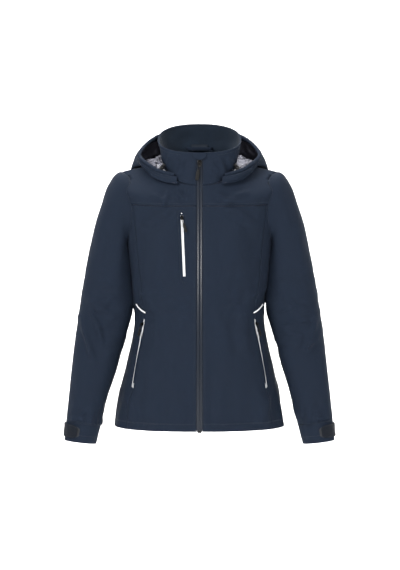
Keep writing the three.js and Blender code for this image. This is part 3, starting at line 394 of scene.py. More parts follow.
# Folds that hang in this jacket's cloth: their line across and up, their half width and height.
FRONT_FOLDS = (
    (((-58, -58), (-50, -74), (-30, -88)), 5, 3.6),
    (((-74, -62), (-84, -84), (-92, -99)), 6, 3.2),
    (((-38, -58), (-34, -72), (-24, -84)), 4, 2.6),
    (((40, -70), (70, -88), (108, -92)), 6, 3.4),
    (((54, -97), (92, -76), (126, -66)), 6, 3.4),
    (((-120, -72), (-96, -84), (-66, -92)), 6, 3.0),
    (((62, -104), (100, -120), (138, -150)), 9, 2.6),
    (((-62, -110), (-104, -128), (-142, -160)), 9, 2.6),
    (((-142, -300), (-120, -350), (-96, -372)), 11, 2.0),
    (((140, -300), (122, -348), (100, -376)), 11, 2.0),
    (((-128, -360), (-108, -400), (-104, -470)), 13, 2.2),
    (((122, -366), (112, -410), (116, -480)), 13, 2.2),
    (((-172, -585), (-160, -610), (-156, -642)), 8, 1.6),
    (((168, -580), (158, -612), (160, -644)), 8, 1.6),
    (((-110, -600), (-104, -622), (-104, -648)), 8, 1.2),
)
COLLAR_FOLDS = (
    (((-36, 20), (-50, -14), (-66, -34)), 5, 3.6),
    (((-30, -2), (-52, -30), (-58, -44)), 4, 2.8),
    (((40, 22), (58, -6), (62, -34)), 5, 3.6),
    (((22, -14), (40, -30), (48, -46)), 4, 2.6),
    (((66, 22), (78, 2), (80, -20)), 5, 3.0),
    (((-66, 28), (-76, 6), (-82, -14)), 5, 3.0),
)
SLEEVE_FOLDS = (
    (((-296, -372), (-282, -420), (-258, -490)), 7, 5.4),
    (((-276, -356), (-250, -396), (-238, -450)), 6, 3.8),
    (((-290, -330), (-255, -352), (-215, -372)), 8, 2.6),
    (((-216, -330), (-236, -352), (-262, -362)), 7, 2.2),
    (((-318, -640), (-300, -622), (-276, -612)), 6, 2.6),
    (((-258, -118), (-246, -190), (-250, -260)), 12, 2.0),
    (((292, -356), (282, -408), (262, -470)), 7, 4.6),
    (((300, -410), (284, -440), (256, -462)), 6, 3.6),
    (((214, -332), (238, -352), (270, -356)), 7, 2.4),
    (((238, -372), (262, -384), (290, -384)), 7, 2.2),
    (((318, -632), (300, -618), (282, -616)), 6, 2.2),
    (((262, -120), (252, -190), (256, -255)), 12, 2.0),
)


def folded(points, folds):
    """The height of named folds, which lie on the front of the cloth only."""
    height = np.zeros(points.shape[:-1])
    for line, half, high in folds:
        far, share = line_distance(points, line)
        ends = ramp(share, 0, 0.25) * ramp(1 - share, 0, 0.25) + 0.15
        profile = np.exp(-((far / half) ** 2)) - 0.45 * np.exp(-(((far - 1.9 * half) / half) ** 2))
        height += high * profile * ends
    return height * ramp(-points[..., 1], -30, 10)


def body_drape(points):
    """How far the body's cloth stands off its plain form."""
    x, y, z = points[..., 0], points[..., 1], points[..., 2]
    skirt = ramp(-z, 330, 560)
    height = 2.0 * skirt * waves(points, 62, 3, (1, 1, 5))
    height += 1.0 * waves(points, 95, 4, (1, 1, 1.6))
    height += 0.5 * waves(points, 34, 5, (1, 1, 2.4)) * ramp(-z, 60, 240)
    height += 1.1 * ramp(-z, 250, 330) * ramp(z, -450, -380) * creases(waves(points, 70, 8, (1.8, 1.8, 0.7)))
    height += folded(points, FRONT_FOLDS)
    rear = ramp(y, 0, 50)
    height += rear * 1.6 * waves(points, 80, 6, (1, 1, 3.5)) * ramp(-z, 90, 240)
    calm = np.where(y < 0, ramp(np.abs(x), 13, 42), 1.0)
    for line, room in ((CHEST_ZIP, 10), (HAND_ZIP, 9)):
        hands = (1,) if line is CHEST_ZIP else (1, -1)
        for hand in hands:
            far, _ = line_distance(points * (hand, 1, 1), line)
            calm = calm * np.where(y < 20, ramp(far, room, room + 26), 1)
    calm = calm * (1 - 0.85 * ramp(np.abs(x), 138, 160) * ramp(z, -330, -240))
    calm = calm * ramp(-z, 24, 90) * (1 - 0.75 * ramp(-z, 630, 655))
    return np.clip(height * calm, -2.4, 4.2)


def arm_drape(points, angle, s, hand):
    """How far a sleeve's cloth stands off its plain form."""
    mirrored = points * (hand, 1, 1)
    height = 1.3 * waves(mirrored, 78, 11 + hand, (1, 1, 2.2))
    elbow = np.exp(-(((s - 7.1) / 1.7) ** 2))
    height += 2.4 * elbow * creases(waves(mirrored, 60, 21 + hand, (2.2, 2.2, 0.75)))
    wrist = ramp(s, CUFF_START - 1.4, CUFF_START)
    height += 1.5 * wrist * waves(mirrored, 30, 31 + hand, (0.8, 0.8, 2.5))
    height += folded(points, SLEEVE_FOLDS)
    across, ahead = section(angle)
    inner = ramp(-ahead, 0.25, 0.75) * (1 - ramp(s, 7.5, 9))
    outer = ramp(ahead, 0.55, 0.95)
    height = np.clip(height, -2.8, 5.4) * (1 - 0.9 * inner) * (1 - 0.75 * outer) * ramp(s, 1.0, 2.4)
    height -= 2.4 * ramp(ahead, 0.3, 0.85) * np.exp(-(((s - 2.1) / 1.2) ** 2))
    z = points[..., 2]
    beside = ramp(-z, 185, 240) * ramp(z, -368, -334)
    return height + 7 * beside * np.exp(-(((across + 0.42) / 0.24) ** 2)) * ramp(-ahead, 0.35, 0.75)


def seam_relief(far):
    """A sewn edge: the cloth dips into the seam beside a flat ridge of turned cloth."""
    return 0.35 * np.exp(-(((far - 5) / 3.6) ** 4)) - 1.1 * np.exp(-((far / 1.3) ** 2))


def rolled_relief(far):
    """A folded edge, which rounds off within a millimetre."""
    return -0.6 * np.exp(-((far / 0.9) ** 2))


def hem_relief(far):
    """A turned hem: a rolled edge, and a row of stitches that sinks into the cloth."""
    return rolled_relief(far) - 0.55 * np.exp(-(((far - HEM_ROWS[0]) / 1.1) ** 2))


# ------------------------------------------------------------------ meshes

# Distances from a sheet's edge of the rows that carry its seam's relief.
CROWDED = (0.5, 1.1, 1.9, 3.2, 5.2, 7.6)


def graded(length, step):
    """Shares of a length that crowd towards both ends."""
    ends = [k for k in CROWDED if k < length / 3]
    inner = [k / length for k in ends]
    last = inner[-1] if inner else 0
    count = max(2, int(round((1 - 2 * last) * length / step)))
    middle = np.linspace(last, 1 - last, count + 1)[1:-1]
    return np.array([0, *inner, *middle, *[1 - k for k in reversed(inner)], 1])


def grid_normals(p, wrap=False):
    if wrap:
        across = np.roll(p, -1, 0) - np.roll(p, 1, 0)
    else:
        across = np.gradient(p, axis=0)
    return unit(np.cross(np.gradient(p, axis=1), across))


def row_lengths(p, axis):
    """Distances from the first edge of a grid along an axis, and from the last edge."""
    steps = np.linalg.norm(np.diff(p, axis=axis), axis=-1)
    start = np.zeros_like(np.take(steps, [0], axis))
    grown = np.concatenate([start, np.cumsum(steps, axis)], axis)
    return grown, np.take(grown, [-1], axis) - grown


def sheet_faces(m, n, wrap=False):
    """Quads of a closed double sheet of m by n points, the outer layer first."""
    i, j = np.meshgrid(np.arange(m if wrap else m - 1), np.arange(n - 1), indexing="ij")
    i, j = i.ravel(), j.ravel()
    k = (i + 1) % m

    def at(layer, a, b):
        return layer * m * n + a * n + b

    faces = [
        np.stack([at(0, i, j), at(0, i, j + 1), at(0, k, j + 1), at(0, k, j)], 1),
        np.stack([at(1, i, j), at(1, k, j), at(1, k, j + 1), at(1, i, j + 1)], 1),
    ]
    a = np.arange(m if wrap else m - 1)
    b = (a + 1) % m
    faces.append(np.stack([at(0, a, 0), at(0, b, 0), at(1, b, 0), at(1, a, 0)], 1))
    e = n - 1
    faces.append(np.stack([at(0, a, e), at(1, a, e), at(1, b, e), at(0, b, e)], 1))
    if not wrap:
        c = np.arange(n - 1)
        w = m - 1
        faces.append(np.stack([at(0, 0, c), at(1, 0, c), at(1, 0, c + 1), at(0, 0, c + 1)], 1))
        faces.append(np.stack([at(0, w, c), at(0, w, c + 1), at(1, w, c + 1), at(1, w, c)], 1))
    return np.concatenate(faces)


def tube_faces(m, n):
    """Quads of an open tube of n rings of m points, listed meridian by meridian."""
    i, j = np.meshgrid(np.arange(m), np.arange(n - 1), indexing="ij")
    i, j, k = i.ravel(), j.ravel(), (i.ravel() + 1) % m
    return np.stack([i * n + j, i * n + j + 1, k * n + j + 1, k * n + j], 1)


class Solid:
    """Points in millimetres and faces, gathered before they become a mesh."""

    def __init__(self):
        self.points, self.faces, self.count = [], [], 0

    def add(self, points, faces):
        points = np.asarray(points, float).reshape(-1, 3)
        self.points.append(points)
        self.faces.extend([tuple(int(k) + self.count for k in f) for f in faces])
        self.count += len(points)
        return self

    def outward(self):
        """Turns the faces round if they look inwards."""
        p = np.concatenate(self.points)
        volume = sum(
            p[f[0]] @ np.cross(p[f[k]], p[f[k + 1]]) for f in self.faces for k in range(1, len(f) - 1)
        )
        if volume < 0:
            self.faces = [f[::-1] for f in self.faces]
        return self


def double_sheet(outer, inner, wrap=False):
    m, n = outer.shape[:2]
    points = np.concatenate([outer.reshape(-1, 3), inner.reshape(-1, 3)])
    return Solid().add(points, sheet_faces(m, n, wrap)).outward()


def tube_solid(path, radius, sides=8, squash=1.0, out=None):
    """A closed tube along points. radius may change along it, and squash flattens it along out."""
    path = np.asarray(path, float)
    n = len(path)
    tangent = unit(np.gradient(path, axis=0))
    if out is None:
        across = np.zeros_like(path)
        start = np.cross(tangent[0], (0.3, 0.5, 0.81))
        for i in range(n):
            start = start - tangent[i] * (start @ tangent[i])
            start /= max(np.linalg.norm(start), 1e-9)
            across[i] = start
        out = np.cross(tangent, across)
    else:
        out = np.broadcast_to(np.asarray(out, float), path.shape)
        out = unit(out - tangent * (out * tangent).sum(-1, keepdims=True))
        across = np.cross(out, tangent)
    radius = np.broadcast_to(np.asarray(radius, float), (n,))[:, None, None]
    turn = np.arange(sides) / sides * 2 * PI
    ring = across[:, None] * np.cos(turn)[:, None] + out[:, None] * np.sin(turn)[:, None] * squash
    return ring_stack(path[:, None] + ring * radius)


def ring_stack(rings):
    """A closed solid through a stack of rings of points."""
    n, m = rings.shape[:2]
    i, j = np.meshgrid(np.arange(n - 1), np.arange(m), indexing="ij")
    i, j = i.ravel(), j.ravel()
    k = (j + 1) % m
    solid = Solid().add(rings, np.stack([i * m + j, i * m + k, (i + 1) * m + k, (i + 1) * m + j], 1))
    solid.faces.append(tuple(range(m))[::-1])
    solid.faces.append(tuple(range((n - 1) * m, n * m)))
    return solid.outward()


def join(*solids):
    whole = Solid()
    for solid in solids:
        whole.add(np.concatenate(solid.points), solid.faces)
    return whole


def mesh_object(name, solid, material, smooth=40):
    mesh = bpy.data.meshes.new(name + "_cloth")
    points = np.concatenate(solid.points) * MM
    mesh.from_pydata(points.tolist(), [], solid.faces)
    mesh.validate()
    mesh.polygons.foreach_set("use_smooth", np.ones(len(mesh.polygons), bool))
    mesh.set_sharp_from_angle(angle=math.radians(smooth))
    mesh.materials.append(material)
    obj = bpy.data.objects.new(name + "_cloth", mesh)
    bpy.context.scene.collection.objects.link(obj)
    return obj


def stand_for(obj, slot, *nodes):
    """Lets a piece stand for its nodes of the frame, which it hides."""
    if nodes:
        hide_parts(*nodes)


def finish_piece(obj, body, slot, *nodes):
    """Rides a piece on its body, and lets it stand for its nodes of the frame."""
    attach(obj, body)
    stand_for(obj, slot, *nodes)


def finish_thread(name, lines, body):
    """Sews rows of the usual stitches and rides them on a body."""
    thread = mesh_object(name, stitched(lines, STITCH, PITCH), FINISH["thread"])
    finish_piece(thread, body, "shell")


def cut_away(obj, *cutters):
    """Cuts solids out of a piece, and deletes them."""
    for solid in cutters:
        knife = mesh_object("knife", solid, obj.data.materials[0])
        cut = obj.modifiers.new("cut", "BOOLEAN")
        cut.operation, cut.solver, cut.object = "DIFFERENCE", "MANIFOLD", knife
        evaluated = obj.evaluated_get(bpy.context.evaluated_depsgraph_get())
        made = bpy.data.meshes.new_from_object(evaluated)
        obj.modifiers.clear()
        old, obj.data = obj.data, made
        bpy.data.meshes.remove(old)
        bpy.data.meshes.remove(knife.data)
    keep_largest(obj)
    return obj


def keep_largest(obj):
    """Drops the crumbs that a cut leaves where two surfaces graze."""
    mesh = obj.data
    parent = np.arange(len(mesh.vertices))
    edges = np.zeros(len(mesh.edges) * 2, int)
    mesh.edges.foreach_get("vertices", edges)
    edges = edges.reshape(-1, 2)
    while True:
        low = np.minimum(parent[edges[:, 0]], parent[edges[:, 1]])
        new = parent.copy()
        np.minimum.at(new, edges[:, 0], low)
        np.minimum.at(new, edges[:, 1], low)
        new = new[new]
        if (new == parent).all():
            break
        parent = new
    labels, counts = np.unique(parent, return_counts=True)
    if len(labels) == 1:
        return
    bm = bmesh.new()
    bm.from_mesh(mesh)
    bm.verts.ensure_lookup_table()
    drop = np.flatnonzero(parent != labels[counts.argmax()])
    bmesh.ops.delete(bm, geom=[bm.verts[int(i)] for i in drop], context="VERTS")
    bm.to_mesh(mesh)
    bm.free()


# ------------------------------------------------------------------ pieces of cloth

EDGES = {
    "seam": seam_relief,
    "hem": hem_relief,
    "rolled": rolled_relief,
    "plain": lambda far: 0 * far,
}


class Cloth:
    """A sheet cut from a surface. place(p, q) gives the surface's own coordinates for p and q."""

    def __init__(
        self, surface, place, size, step, outside, thick, edges="seam", drape=None, wrap=False, rows=None
    ):
        edges = (edges,) * 4 if isinstance(edges, str) else edges
        p = np.arange(round(size[0] / step)) / round(size[0] / step) if wrap else graded(size[0], step)
        q = graded(size[1], step) if rows is None else rows
        self.p, self.q = np.meshgrid(p, q, indexing="ij")
        self.wrap = wrap
        u, v = place(self.p, self.q)
        base = surface(u, v)
        normals = grid_normals(base, wrap)
        facing = np.sign((normals * normal_of(surface, u, v)).sum())
        normals = normals * facing
        base = base + normals * outside
        self.far = []
        if not wrap:
            self.far += list(row_lengths(base, 0))
        self.far += list(row_lengths(base, 1))
        names = edges[2:] if wrap else edges
        height = np.zeros(base.shape[:2])
        for name, far in zip(names, self.far):
            height = height + EDGES[name](far)
        if drape is not None:
            height = height + drape(base, u, v)
        self.outer = base + normals * height[..., None]
        self.normals = grid_normals(self.outer, wrap) * facing
        self.inner = self.outer - self.normals * thick

    def solid(self):
        return double_sheet(self.outer, self.inner, self.wrap)

    def inset(self, edge, distance):
        """The line on the outer layer at a distance from an edge: 0, 1 the sides, 2, 3 the ends."""
        outer = self.outer if edge > 1 else self.outer.swapaxes(0, 1)
        if edge % 2:
            outer = outer[:, ::-1]
        steps = np.linalg.norm(np.diff(outer, axis=1), axis=-1)
        grown = np.concatenate([np.zeros((len(outer), 1)), np.cumsum(steps, 1)], 1)
        line = [[np.interp(distance, g, row[:, k]) for k in range(3)] for g, row in zip(grown, outer)]
        if self.wrap and edge > 1:
            line.append(line[0])
        return np.array(line)


def stitched(lines, length, pitch, thick=0.27, ends=0):
    """Thread along lines: each stitch is a short spindle half sunk in the cloth."""
    whole = Solid()
    turn = np.arange(5) / 5 * 2 * PI
    shares = np.array((0, 0.16, 0.84, 1))
    radii = np.array((0.45, 1, 1, 0.45)) * thick
    for line in lines:
        steps = np.linalg.norm(np.diff(line, axis=0), axis=1)
        grown = np.concatenate([[0], np.cumsum(steps)])
        starts = np.arange(ends + pitch / 2, grown[-1] - length - ends, pitch)
        if not len(starts):
            continue
        at = (starts[:, None] + shares * length).ravel()
        path = np.stack([np.interp(at, grown, line[:, k]) for k in range(3)], 1).reshape(-1, 4, 3)
        tangent = unit(path[:, 3] - path[:, 0])
        side = unit(np.cross(tangent, (0.21, 0.55, 0.81)))
        up = np.cross(tangent, side)
        ring = side[:, None] * np.cos(turn)[:, None] + up[:, None] * np.sin(turn)[:, None]
        points = path[:, :, None] + ring[:, None] * radii[:, None, None]
        n = len(points)
        base = np.arange(n)[:, None] * 20
        quads = []
        for r in range(3):
            for k in range(5):
                m = (k + 1) % 5
                quads.append(base + np.array([[r * 5 + k, r * 5 + m, (r + 1) * 5 + m, (r + 1) * 5 + k]]))
        faces = np.concatenate(quads).tolist()
        for b in base[:, 0]:
            faces.append([b + k for k in (4, 3, 2, 1, 0)])
            faces.append([b + 15 + k for k in range(5)])
        whole.add(points.reshape(-1, 3), faces)
    return whole


def lathe(profile, sides=28):
    """A closed solid of revolution about y, from a closed profile of (radius, y) points."""
    profile = np.array(profile, float)
    turn = np.arange(sides) / sides * 2 * PI
    points = np.stack(
        [
            profile[:, 0] * np.cos(turn)[:, None],
            np.broadcast_to(profile[:, 1], (sides, len(profile))),
            profile[:, 0] * np.sin(turn)[:, None],
        ],
        -1,
    )
    m = len(profile)
    faces = []
    for i in range(sides):
        k = (i + 1) % sides
        faces += [(i * m + j, k * m + j, k * m + (j + 1) % m, i * m + (j + 1) % m) for j in range(m)]
    return Solid().add(points, faces).outward()


def slab(outline, low, high, bevel=0.3, crown=0.0):
    """A plate with rounded rims: its outline lies in x and z, its faces at two heights of y."""
    outline = np.array(outline, float)
    middle = outline.mean(0)
    rings = []
    for height, inset in (
        (low, bevel),
        (low + bevel * 0.3, bevel * 0.3),
        (low + bevel, 0),
        (high - bevel, 0),
        (high - bevel * 0.3, bevel * 0.3),
        (high, bevel),
        (high + crown * 0.7, bevel + 1.1),
        (high + crown, bevel + 2.2),
    ):
        if inset > 1 and crown == 0:
            continue
        arm = outline - middle
        reach = np.linalg.norm(arm, axis=1, keepdims=True)
        flat = middle + arm * np.maximum(1 - inset / np.maximum(reach, 1e-6), 0.12)
        rings.append(np.stack([flat[:, 0], np.full(len(flat), height), flat[:, 1]], 1))
    return ring_stack(np.array(rings))


def rounded(outline, steps=5, share=0.3):
    """An outline with its corners turned into curves."""
    outline = np.array(outline, float)
    made = []
    for i, corner in enumerate(outline):
        before, after = outline[i - 1], outline[(i + 1) % len(outline)]
        a, b = mix(corner, before, share), mix(corner, after, share)
        t = np.linspace(0, 1, steps)[:, None]
        made.append(a * (1 - t) ** 2 + corner * 2 * t * (1 - t) + b * t * t)
    return np.concatenate(made)


def placed(solid, track, distance, tilt=0.0):
    """Moves a solid from a zip's own frame to its place, turned in the plane of the cloth."""
    p = np.concatenate(solid.points)
    c, s = math.cos(tilt), math.sin(tilt)
    x, z = p[:, 0] * c - p[:, 2] * s, p[:, 0] * s + p[:, 2] * c
    return Solid().add(track.place(distance, x, p[:, 1], z), solid.faces).outward()


# ------------------------------------------------------------------ finishes


def group_of(name, inputs, outputs):
    group = bpy.data.node_groups.new(name, "ShaderNodeTree")
    for socket, kind, value in inputs:
        made = group.interface.new_socket(socket, in_out="INPUT", socket_type=kind)
        made.default_value = value
    for socket, kind in outputs:
        group.interface.new_socket(socket, in_out="OUTPUT", socket_type=kind)
    return group, group.nodes.new("NodeGroupInput"), group.nodes.new("NodeGroupOutput")


def math_node(tree, operation, *values):
    node = tree.nodes.new("ShaderNodeMath")
    node.operation = operation
    for socket, value in zip(node.inputs, values):
        if isinstance(value, (int, float)):
            socket.default_value = value
        else:
            tree.links.new(value, socket)
    return node.outputs[0]


def noise_node(tree, vector, scale, detail, distortion=0.0):
    node = tree.nodes.new("ShaderNodeTexNoise")
    node.inputs["Scale"].default_value = scale
    node.inputs["Detail"].default_value = detail
    node.inputs["Distortion"].default_value = distortion
    tree.links.new(vector, node.inputs["Vector"])
    return node.outputs["Fac"]


def shaded(tree, color, factor):
    """A colour made lighter or darker by a factor that changes over the surface."""
    node = tree.nodes.new("ShaderNodeVectorMath")
    node.operation = "SCALE"
    tree.links.new(color, node.inputs[0])
    tree.links.new(factor, node.inputs["Scale"])
    return node.outputs[0]


def weave_group():
    """Crossed threads with a cloudy dye and a fine fleck."""
    group, given, put = group_of(
        "Weave",
        [
            ("Color", "NodeSocketColor", (0.02, 0.03, 0.05, 1)),
            ("Threads per metre", "NodeSocketFloat", 1300),
            ("Cloud", "NodeSocketFloat", 0.1),
            ("Fleck", "NodeSocketFloat", 0.1),
            ("Roughness", "NodeSocketFloat", 0.8),
        ],
        [("Color", "NodeSocketColor"), ("Roughness", "NodeSocketFloat"), ("Height", "NodeSocketFloat")],
    )
    at = group.nodes.new("ShaderNodeTexCoord").outputs["Object"]
    split = group.nodes.new("ShaderNodeSeparateXYZ")
    group.links.new(at, split.inputs[0])
    around = math_node(group, "ADD", split.outputs[0], split.outputs[1])
    turns = math_node(group, "MULTIPLY", given.outputs["Threads per metre"], 2 * PI)
    warp = math_node(group, "SINE", math_node(group, "MULTIPLY", around, turns))
    weft = math_node(group, "SINE", math_node(group, "MULTIPLY", split.outputs[2], turns))
    threads = math_node(group, "MULTIPLY", warp, weft)
    cloud = noise_node(group, at, 26, 4, 0.6)
    fleck = noise_node(group, at, 900, 2)
    centred_cloud = math_node(group, "SUBTRACT", cloud, 0.5)
    centred_fleck = math_node(group, "SUBTRACT", fleck, 0.5)
    shade = math_node(group, "MULTIPLY", centred_cloud, given.outputs["Cloud"])
    grain = math_node(group, "MULTIPLY", centred_fleck, given.outputs["Fleck"])
    factor = math_node(group, "ADD", math_node(group, "ADD", shade, grain), 1)
    group.links.new(shaded(group, given.outputs["Color"], factor), put.inputs["Color"])
    dulled = math_node(group, "MULTIPLY", centred_cloud, 0.14)
    rough = math_node(group, "ADD", given.outputs["Roughness"], dulled)
    group.links.new(rough, put.inputs["Roughness"])
    height = math_node(group, "ADD", math_node(group, "MULTIPLY", threads, 0.3), fleck)
    group.links.new(height, put.inputs["Height"])
    return group


def rub_group():
    """Fine scuffs and worn patches for metal, film and moulded trims."""
    group, given, put = group_of(
        "Rub",
        [
            ("Color", "NodeSocketColor", (0.02, 0.02, 0.02, 1)),
            ("Roughness", "NodeSocketFloat", 0.4),
            ("Wear", "NodeSocketFloat", 0.3),
            ("Grain scale", "NodeSocketFloat", 1500),
        ],
        [("Color", "NodeSocketColor"), ("Roughness", "NodeSocketFloat"), ("Height", "NodeSocketFloat")],
    )
    at = group.nodes.new("ShaderNodeTexCoord").outputs["Object"]
    grain = group.nodes.new("ShaderNodeTexNoise")
    grain.inputs["Detail"].default_value = 3
    group.links.new(at, grain.inputs["Vector"])
    group.links.new(given.outputs["Grain scale"], grain.inputs["Scale"])
    patch = math_node(group, "SUBTRACT", noise_node(group, at, 90, 5, 1.2), 0.5)
    worn = math_node(group, "MULTIPLY", patch, given.outputs["Wear"])
    factor = math_node(group, "ADD", worn, 1)
    group.links.new(shaded(group, given.outputs["Color"], factor), put.inputs["Color"])
    rough = math_node(group, "ADD", given.outputs["Roughness"], math_node(group, "MULTIPLY", worn, 0.6))
    group.links.new(rough, put.inputs["Roughness"])
    group.links.new(grain.outputs["Fac"], put.inputs["Height"])
    return group


def crumple_group():
    """Sharp little creases, as in a coated lining that was folded up."""
    group, given, put = group_of(
        "Crumple",
        [("Size", "NodeSocketFloat", 60)],
        [("Height", "NodeSocketFloat"), ("Mask", "NodeSocketFloat")],
    )
    at = group.nodes.new("ShaderNodeTexCoord").outputs["Object"]
    made = []
    for factor in (1, 2.7):
        noise = group.nodes.new("ShaderNodeTexNoise")
        noise.inputs["Detail"].default_value = 2
        noise.inputs["Distortion"].default_value = 0.5
        group.links.new(at, noise.inputs["Vector"])
        group.links.new(math_node(group, "MULTIPLY", given.outputs["Size"], factor), noise.inputs["Scale"])
        ridge = math_node(group, "ABSOLUTE", math_node(group, "SUBTRACT", noise.outputs["Fac"], 0.5))
        made.append(math_node(group, "MULTIPLY", ridge, 1 / factor))
    height = math_node(group, "ADD", *made)
    group.links.new(height, put.inputs["Height"])
    group.links.new(math_node(group, "MULTIPLY", height, 3), put.inputs["Mask"])
    return group


def linear(color):
    """An sRGB colour from 0 to 255 as linear light."""
    return tuple(((c / 255 + 0.055) / 1.055) ** 2.4 if c > 10 else c / 255 / 12.92 for c in color)


def finish(name, color, roughness, values, group="Weave", bump=0.4, depth=0.0003, **sockets):
    """A material whose colour, roughness and relief come from a shared group."""
    material = bpy.data.materials.new(name)
    material.use_nodes = True
    tree = material.node_tree
    shader = tree.nodes["Principled BSDF"]
    node = tree.nodes.new("ShaderNodeGroup")
    node.node_tree = bpy.data.node_groups[group]
    node.inputs["Color"].default_value = (*color[:3], 1)
    node.inputs["Roughness"].default_value = roughness
    for key, value in values.items():
        node.inputs[key].default_value = value
    tree.links.new(node.outputs["Color"], shader.inputs["Base Color"])
    tree.links.new(node.outputs["Roughness"], shader.inputs["Roughness"])
    relief = tree.nodes.new("ShaderNodeBump")
    relief.inputs["Strength"].default_value = bump
    relief.inputs["Distance"].default_value = depth
    tree.links.new(node.outputs["Height"], relief.inputs["Height"])
    tree.links.new(relief.outputs["Normal"], shader.inputs["Normal"])
    for key, value in sockets.items():
        shader.inputs[key.replace("_", " ")].default_value = value
    return material


def add_crumple(material, size, strength, depth):
    """Adds the crumple group's creases under a material's own relief."""
    tree = material.node_tree
    node = tree.nodes.new("ShaderNodeGroup")
    node.node_tree = bpy.data.node_groups["Crumple"]
    node.inputs["Size"].default_value = size
    under = tree.nodes.new("ShaderNodeBump")
    under.inputs["Strength"].default_value = strength
    under.inputs["Distance"].default_value = depth
    tree.links.new(node.outputs["Height"], under.inputs["Height"])
    relief = next(n for n in tree.nodes if n.type == "BUMP" and n != under)
    tree.links.new(under.outputs["Normal"], relief.inputs["Normal"])
    return material


FINISH = {}


def make_finishes(cloth, trims):
    """Every material of the jacket, kept under its plain name in FINISH."""
    weave_group()
    rub_group()
    crumple_group()
    made = {
        "shell": finish(
            "shell cloth", cloth.shell_color, 0.88, {"Cloud": 0.14, "Fleck": 0.3},
            bump=0.35, Specular_IOR_Level=0.16,
        ),
        "brushed": finish(
            "brushed lining", cloth.inside_color, 0.95,
            {"Cloud": 0.5, "Fleck": 0.5, "Threads per metre": 500},
            bump=0.6, depth=0.0006, Specular_IOR_Level=0.15, Sheen_Weight=0.05, Sheen_Roughness=0.6,
        ),
        "lining": add_crumple(
            finish(
                "coated lining", cloth.lining_color, 0.42, {"Cloud": 0.3, "Fleck": 0.08},
                bump=0.15, Metallic=0.55, Specular_IOR_Level=0.6,
            ),
            46, 0.55, 0.004,
        ),
        "tape": finish(
            "coated zip tape", trims.tape_color, 0.25, {"Wear": 0.04}, "Rub",
            bump=0.03, Specular_IOR_Level=0.36, Coat_Weight=0.1, Coat_Roughness=0.2,
        ),
        "coil": finish("zip coil", (0.006, 0.006, 0.007), 0.5, {"Wear": 0.2}, "Rub", bump=0.1),
        "reflective": finish(
            "reflective trim", trims.reflective_color, 0.42,
            {"Cloud": 0.05, "Fleck": 0.12, "Threads per metre": 900}, bump=0.3, Specular_IOR_Level=0.6,
        ),
        "metal": finish(
            "black metal", (0.012, 0.012, 0.012), 0.3, {"Wear": 0.5}, "Rub", bump=0.12, Metallic=0.85,
        ),
        "rubber": finish(
            "moulded grip", (0.006, 0.006, 0.006), 0.55, {"Wear": 0.6, "Grain scale": 2200}, "Rub",
            bump=0.25, Specular_IOR_Level=0.25,
        ),
        "hook": finish(
            "hook and loop", (0.018, 0.021, 0.027), 0.95,
            {"Cloud": 0.3, "Fleck": 1.2, "Threads per metre": 700}, bump=1.0, depth=0.0009, Sheen_Weight=0.25,
        ),
        "elastic": finish(
            "elastic cord", (0.33, 0.33, 0.35), 0.7, {"Cloud": 0.1, "Fleck": 0.5, "Threads per metre": 1500},
            bump=0.8, depth=0.0004,
        ),
        "tab": finish(
            "grip cloth", [c * 0.42 for c in cloth.shell_color[:3]], 0.7,
            {"Cloud": 0.5, "Fleck": 1.4, "Threads per metre": 420}, bump=0.8, depth=0.0007,
            Specular_IOR_Level=0.2,
        ),
        "plastic": finish("cord lock", (0.012, 0.012, 0.013), 0.38, {"Wear": 0.3}, "Rub", bump=0.1),
        "thread": finish(
            "sewing thread", [c * 0.8 for c in cloth.shell_color[:3]], 0.6, {"Threads per metre": 4000},
            bump=0.4,
        ),
        "label": finish(
            "woven label", cloth.inside_color, 0.9, {"Fleck": 0.4, "Threads per metre": 2200}, bump=0.6,
        ),
    }
    FINISH.update(made)


# ------------------------------------------------------------------ body


def zip_edge(v):
    return angle_across(ZIP_OPENING / 2 / along(BODY_RINGS[:, 0], v))


def seam_gap(v):
    return 0.3 / along(BODY_RINGS[:, 0], v)


def lower_place(start, end):
    """A panel from the yoke seam to the hem, between two meridians given ring by ring."""

    def place(p, q):
        rough = mix(start(6.0), end(6.0), p)
        top = ring_at(rough, YOKE_Z) + 0.012
        v = mix(top, HEM, q)
        return mix(start(v), end(v), p), v

    return place


def upper_place(start, end):
    """A yoke from the neck to the yoke seam, between two meridians given ring by ring."""

    def place(p, q):
        rough = mix(start(1.0), end(1.0), p)
        v = mix(0.04, ring_at(rough, YOKE_Z) - 0.012, q)
        return mix(start(v), end(v), p), v

    return place


def sleeve_core(hand, distance):
    """A closed solid along the upper sleeve, from within the body, grown by a distance."""
    angle = np.arange(72) / 72 * 2 * PI
    s = np.linspace(0, 6.0, 60)
    a, t = np.meshgrid(angle, s, indexing="ij")
    p = offset(sleeve(hand), distance)(a, t)
    m, n = p.shape[:2]
    solid = Solid().add(p, tube_faces(m, n))
    solid.faces.append(tuple(np.arange(m) * n))
    solid.faces.append(tuple(np.arange(m)[::-1] * n + n - 1))
    return solid.outward()


def slot_solid(track, opening, above, below):
    """A bar along a zip that cuts its slot out of the cloth."""
    d = np.linspace(-above, track.length + below, 24)
    half = opening / 2
    corners = [track.place(d, x, y) for x, y in ((-half, -9), (half, -9), (half, 9), (-half, 9))]
    return ring_stack(np.stack(corners, 1))


def drape_of_body(base, u, v):
    return body_drape(base) * bpy.context.scene.jacket_cloth.fold_height


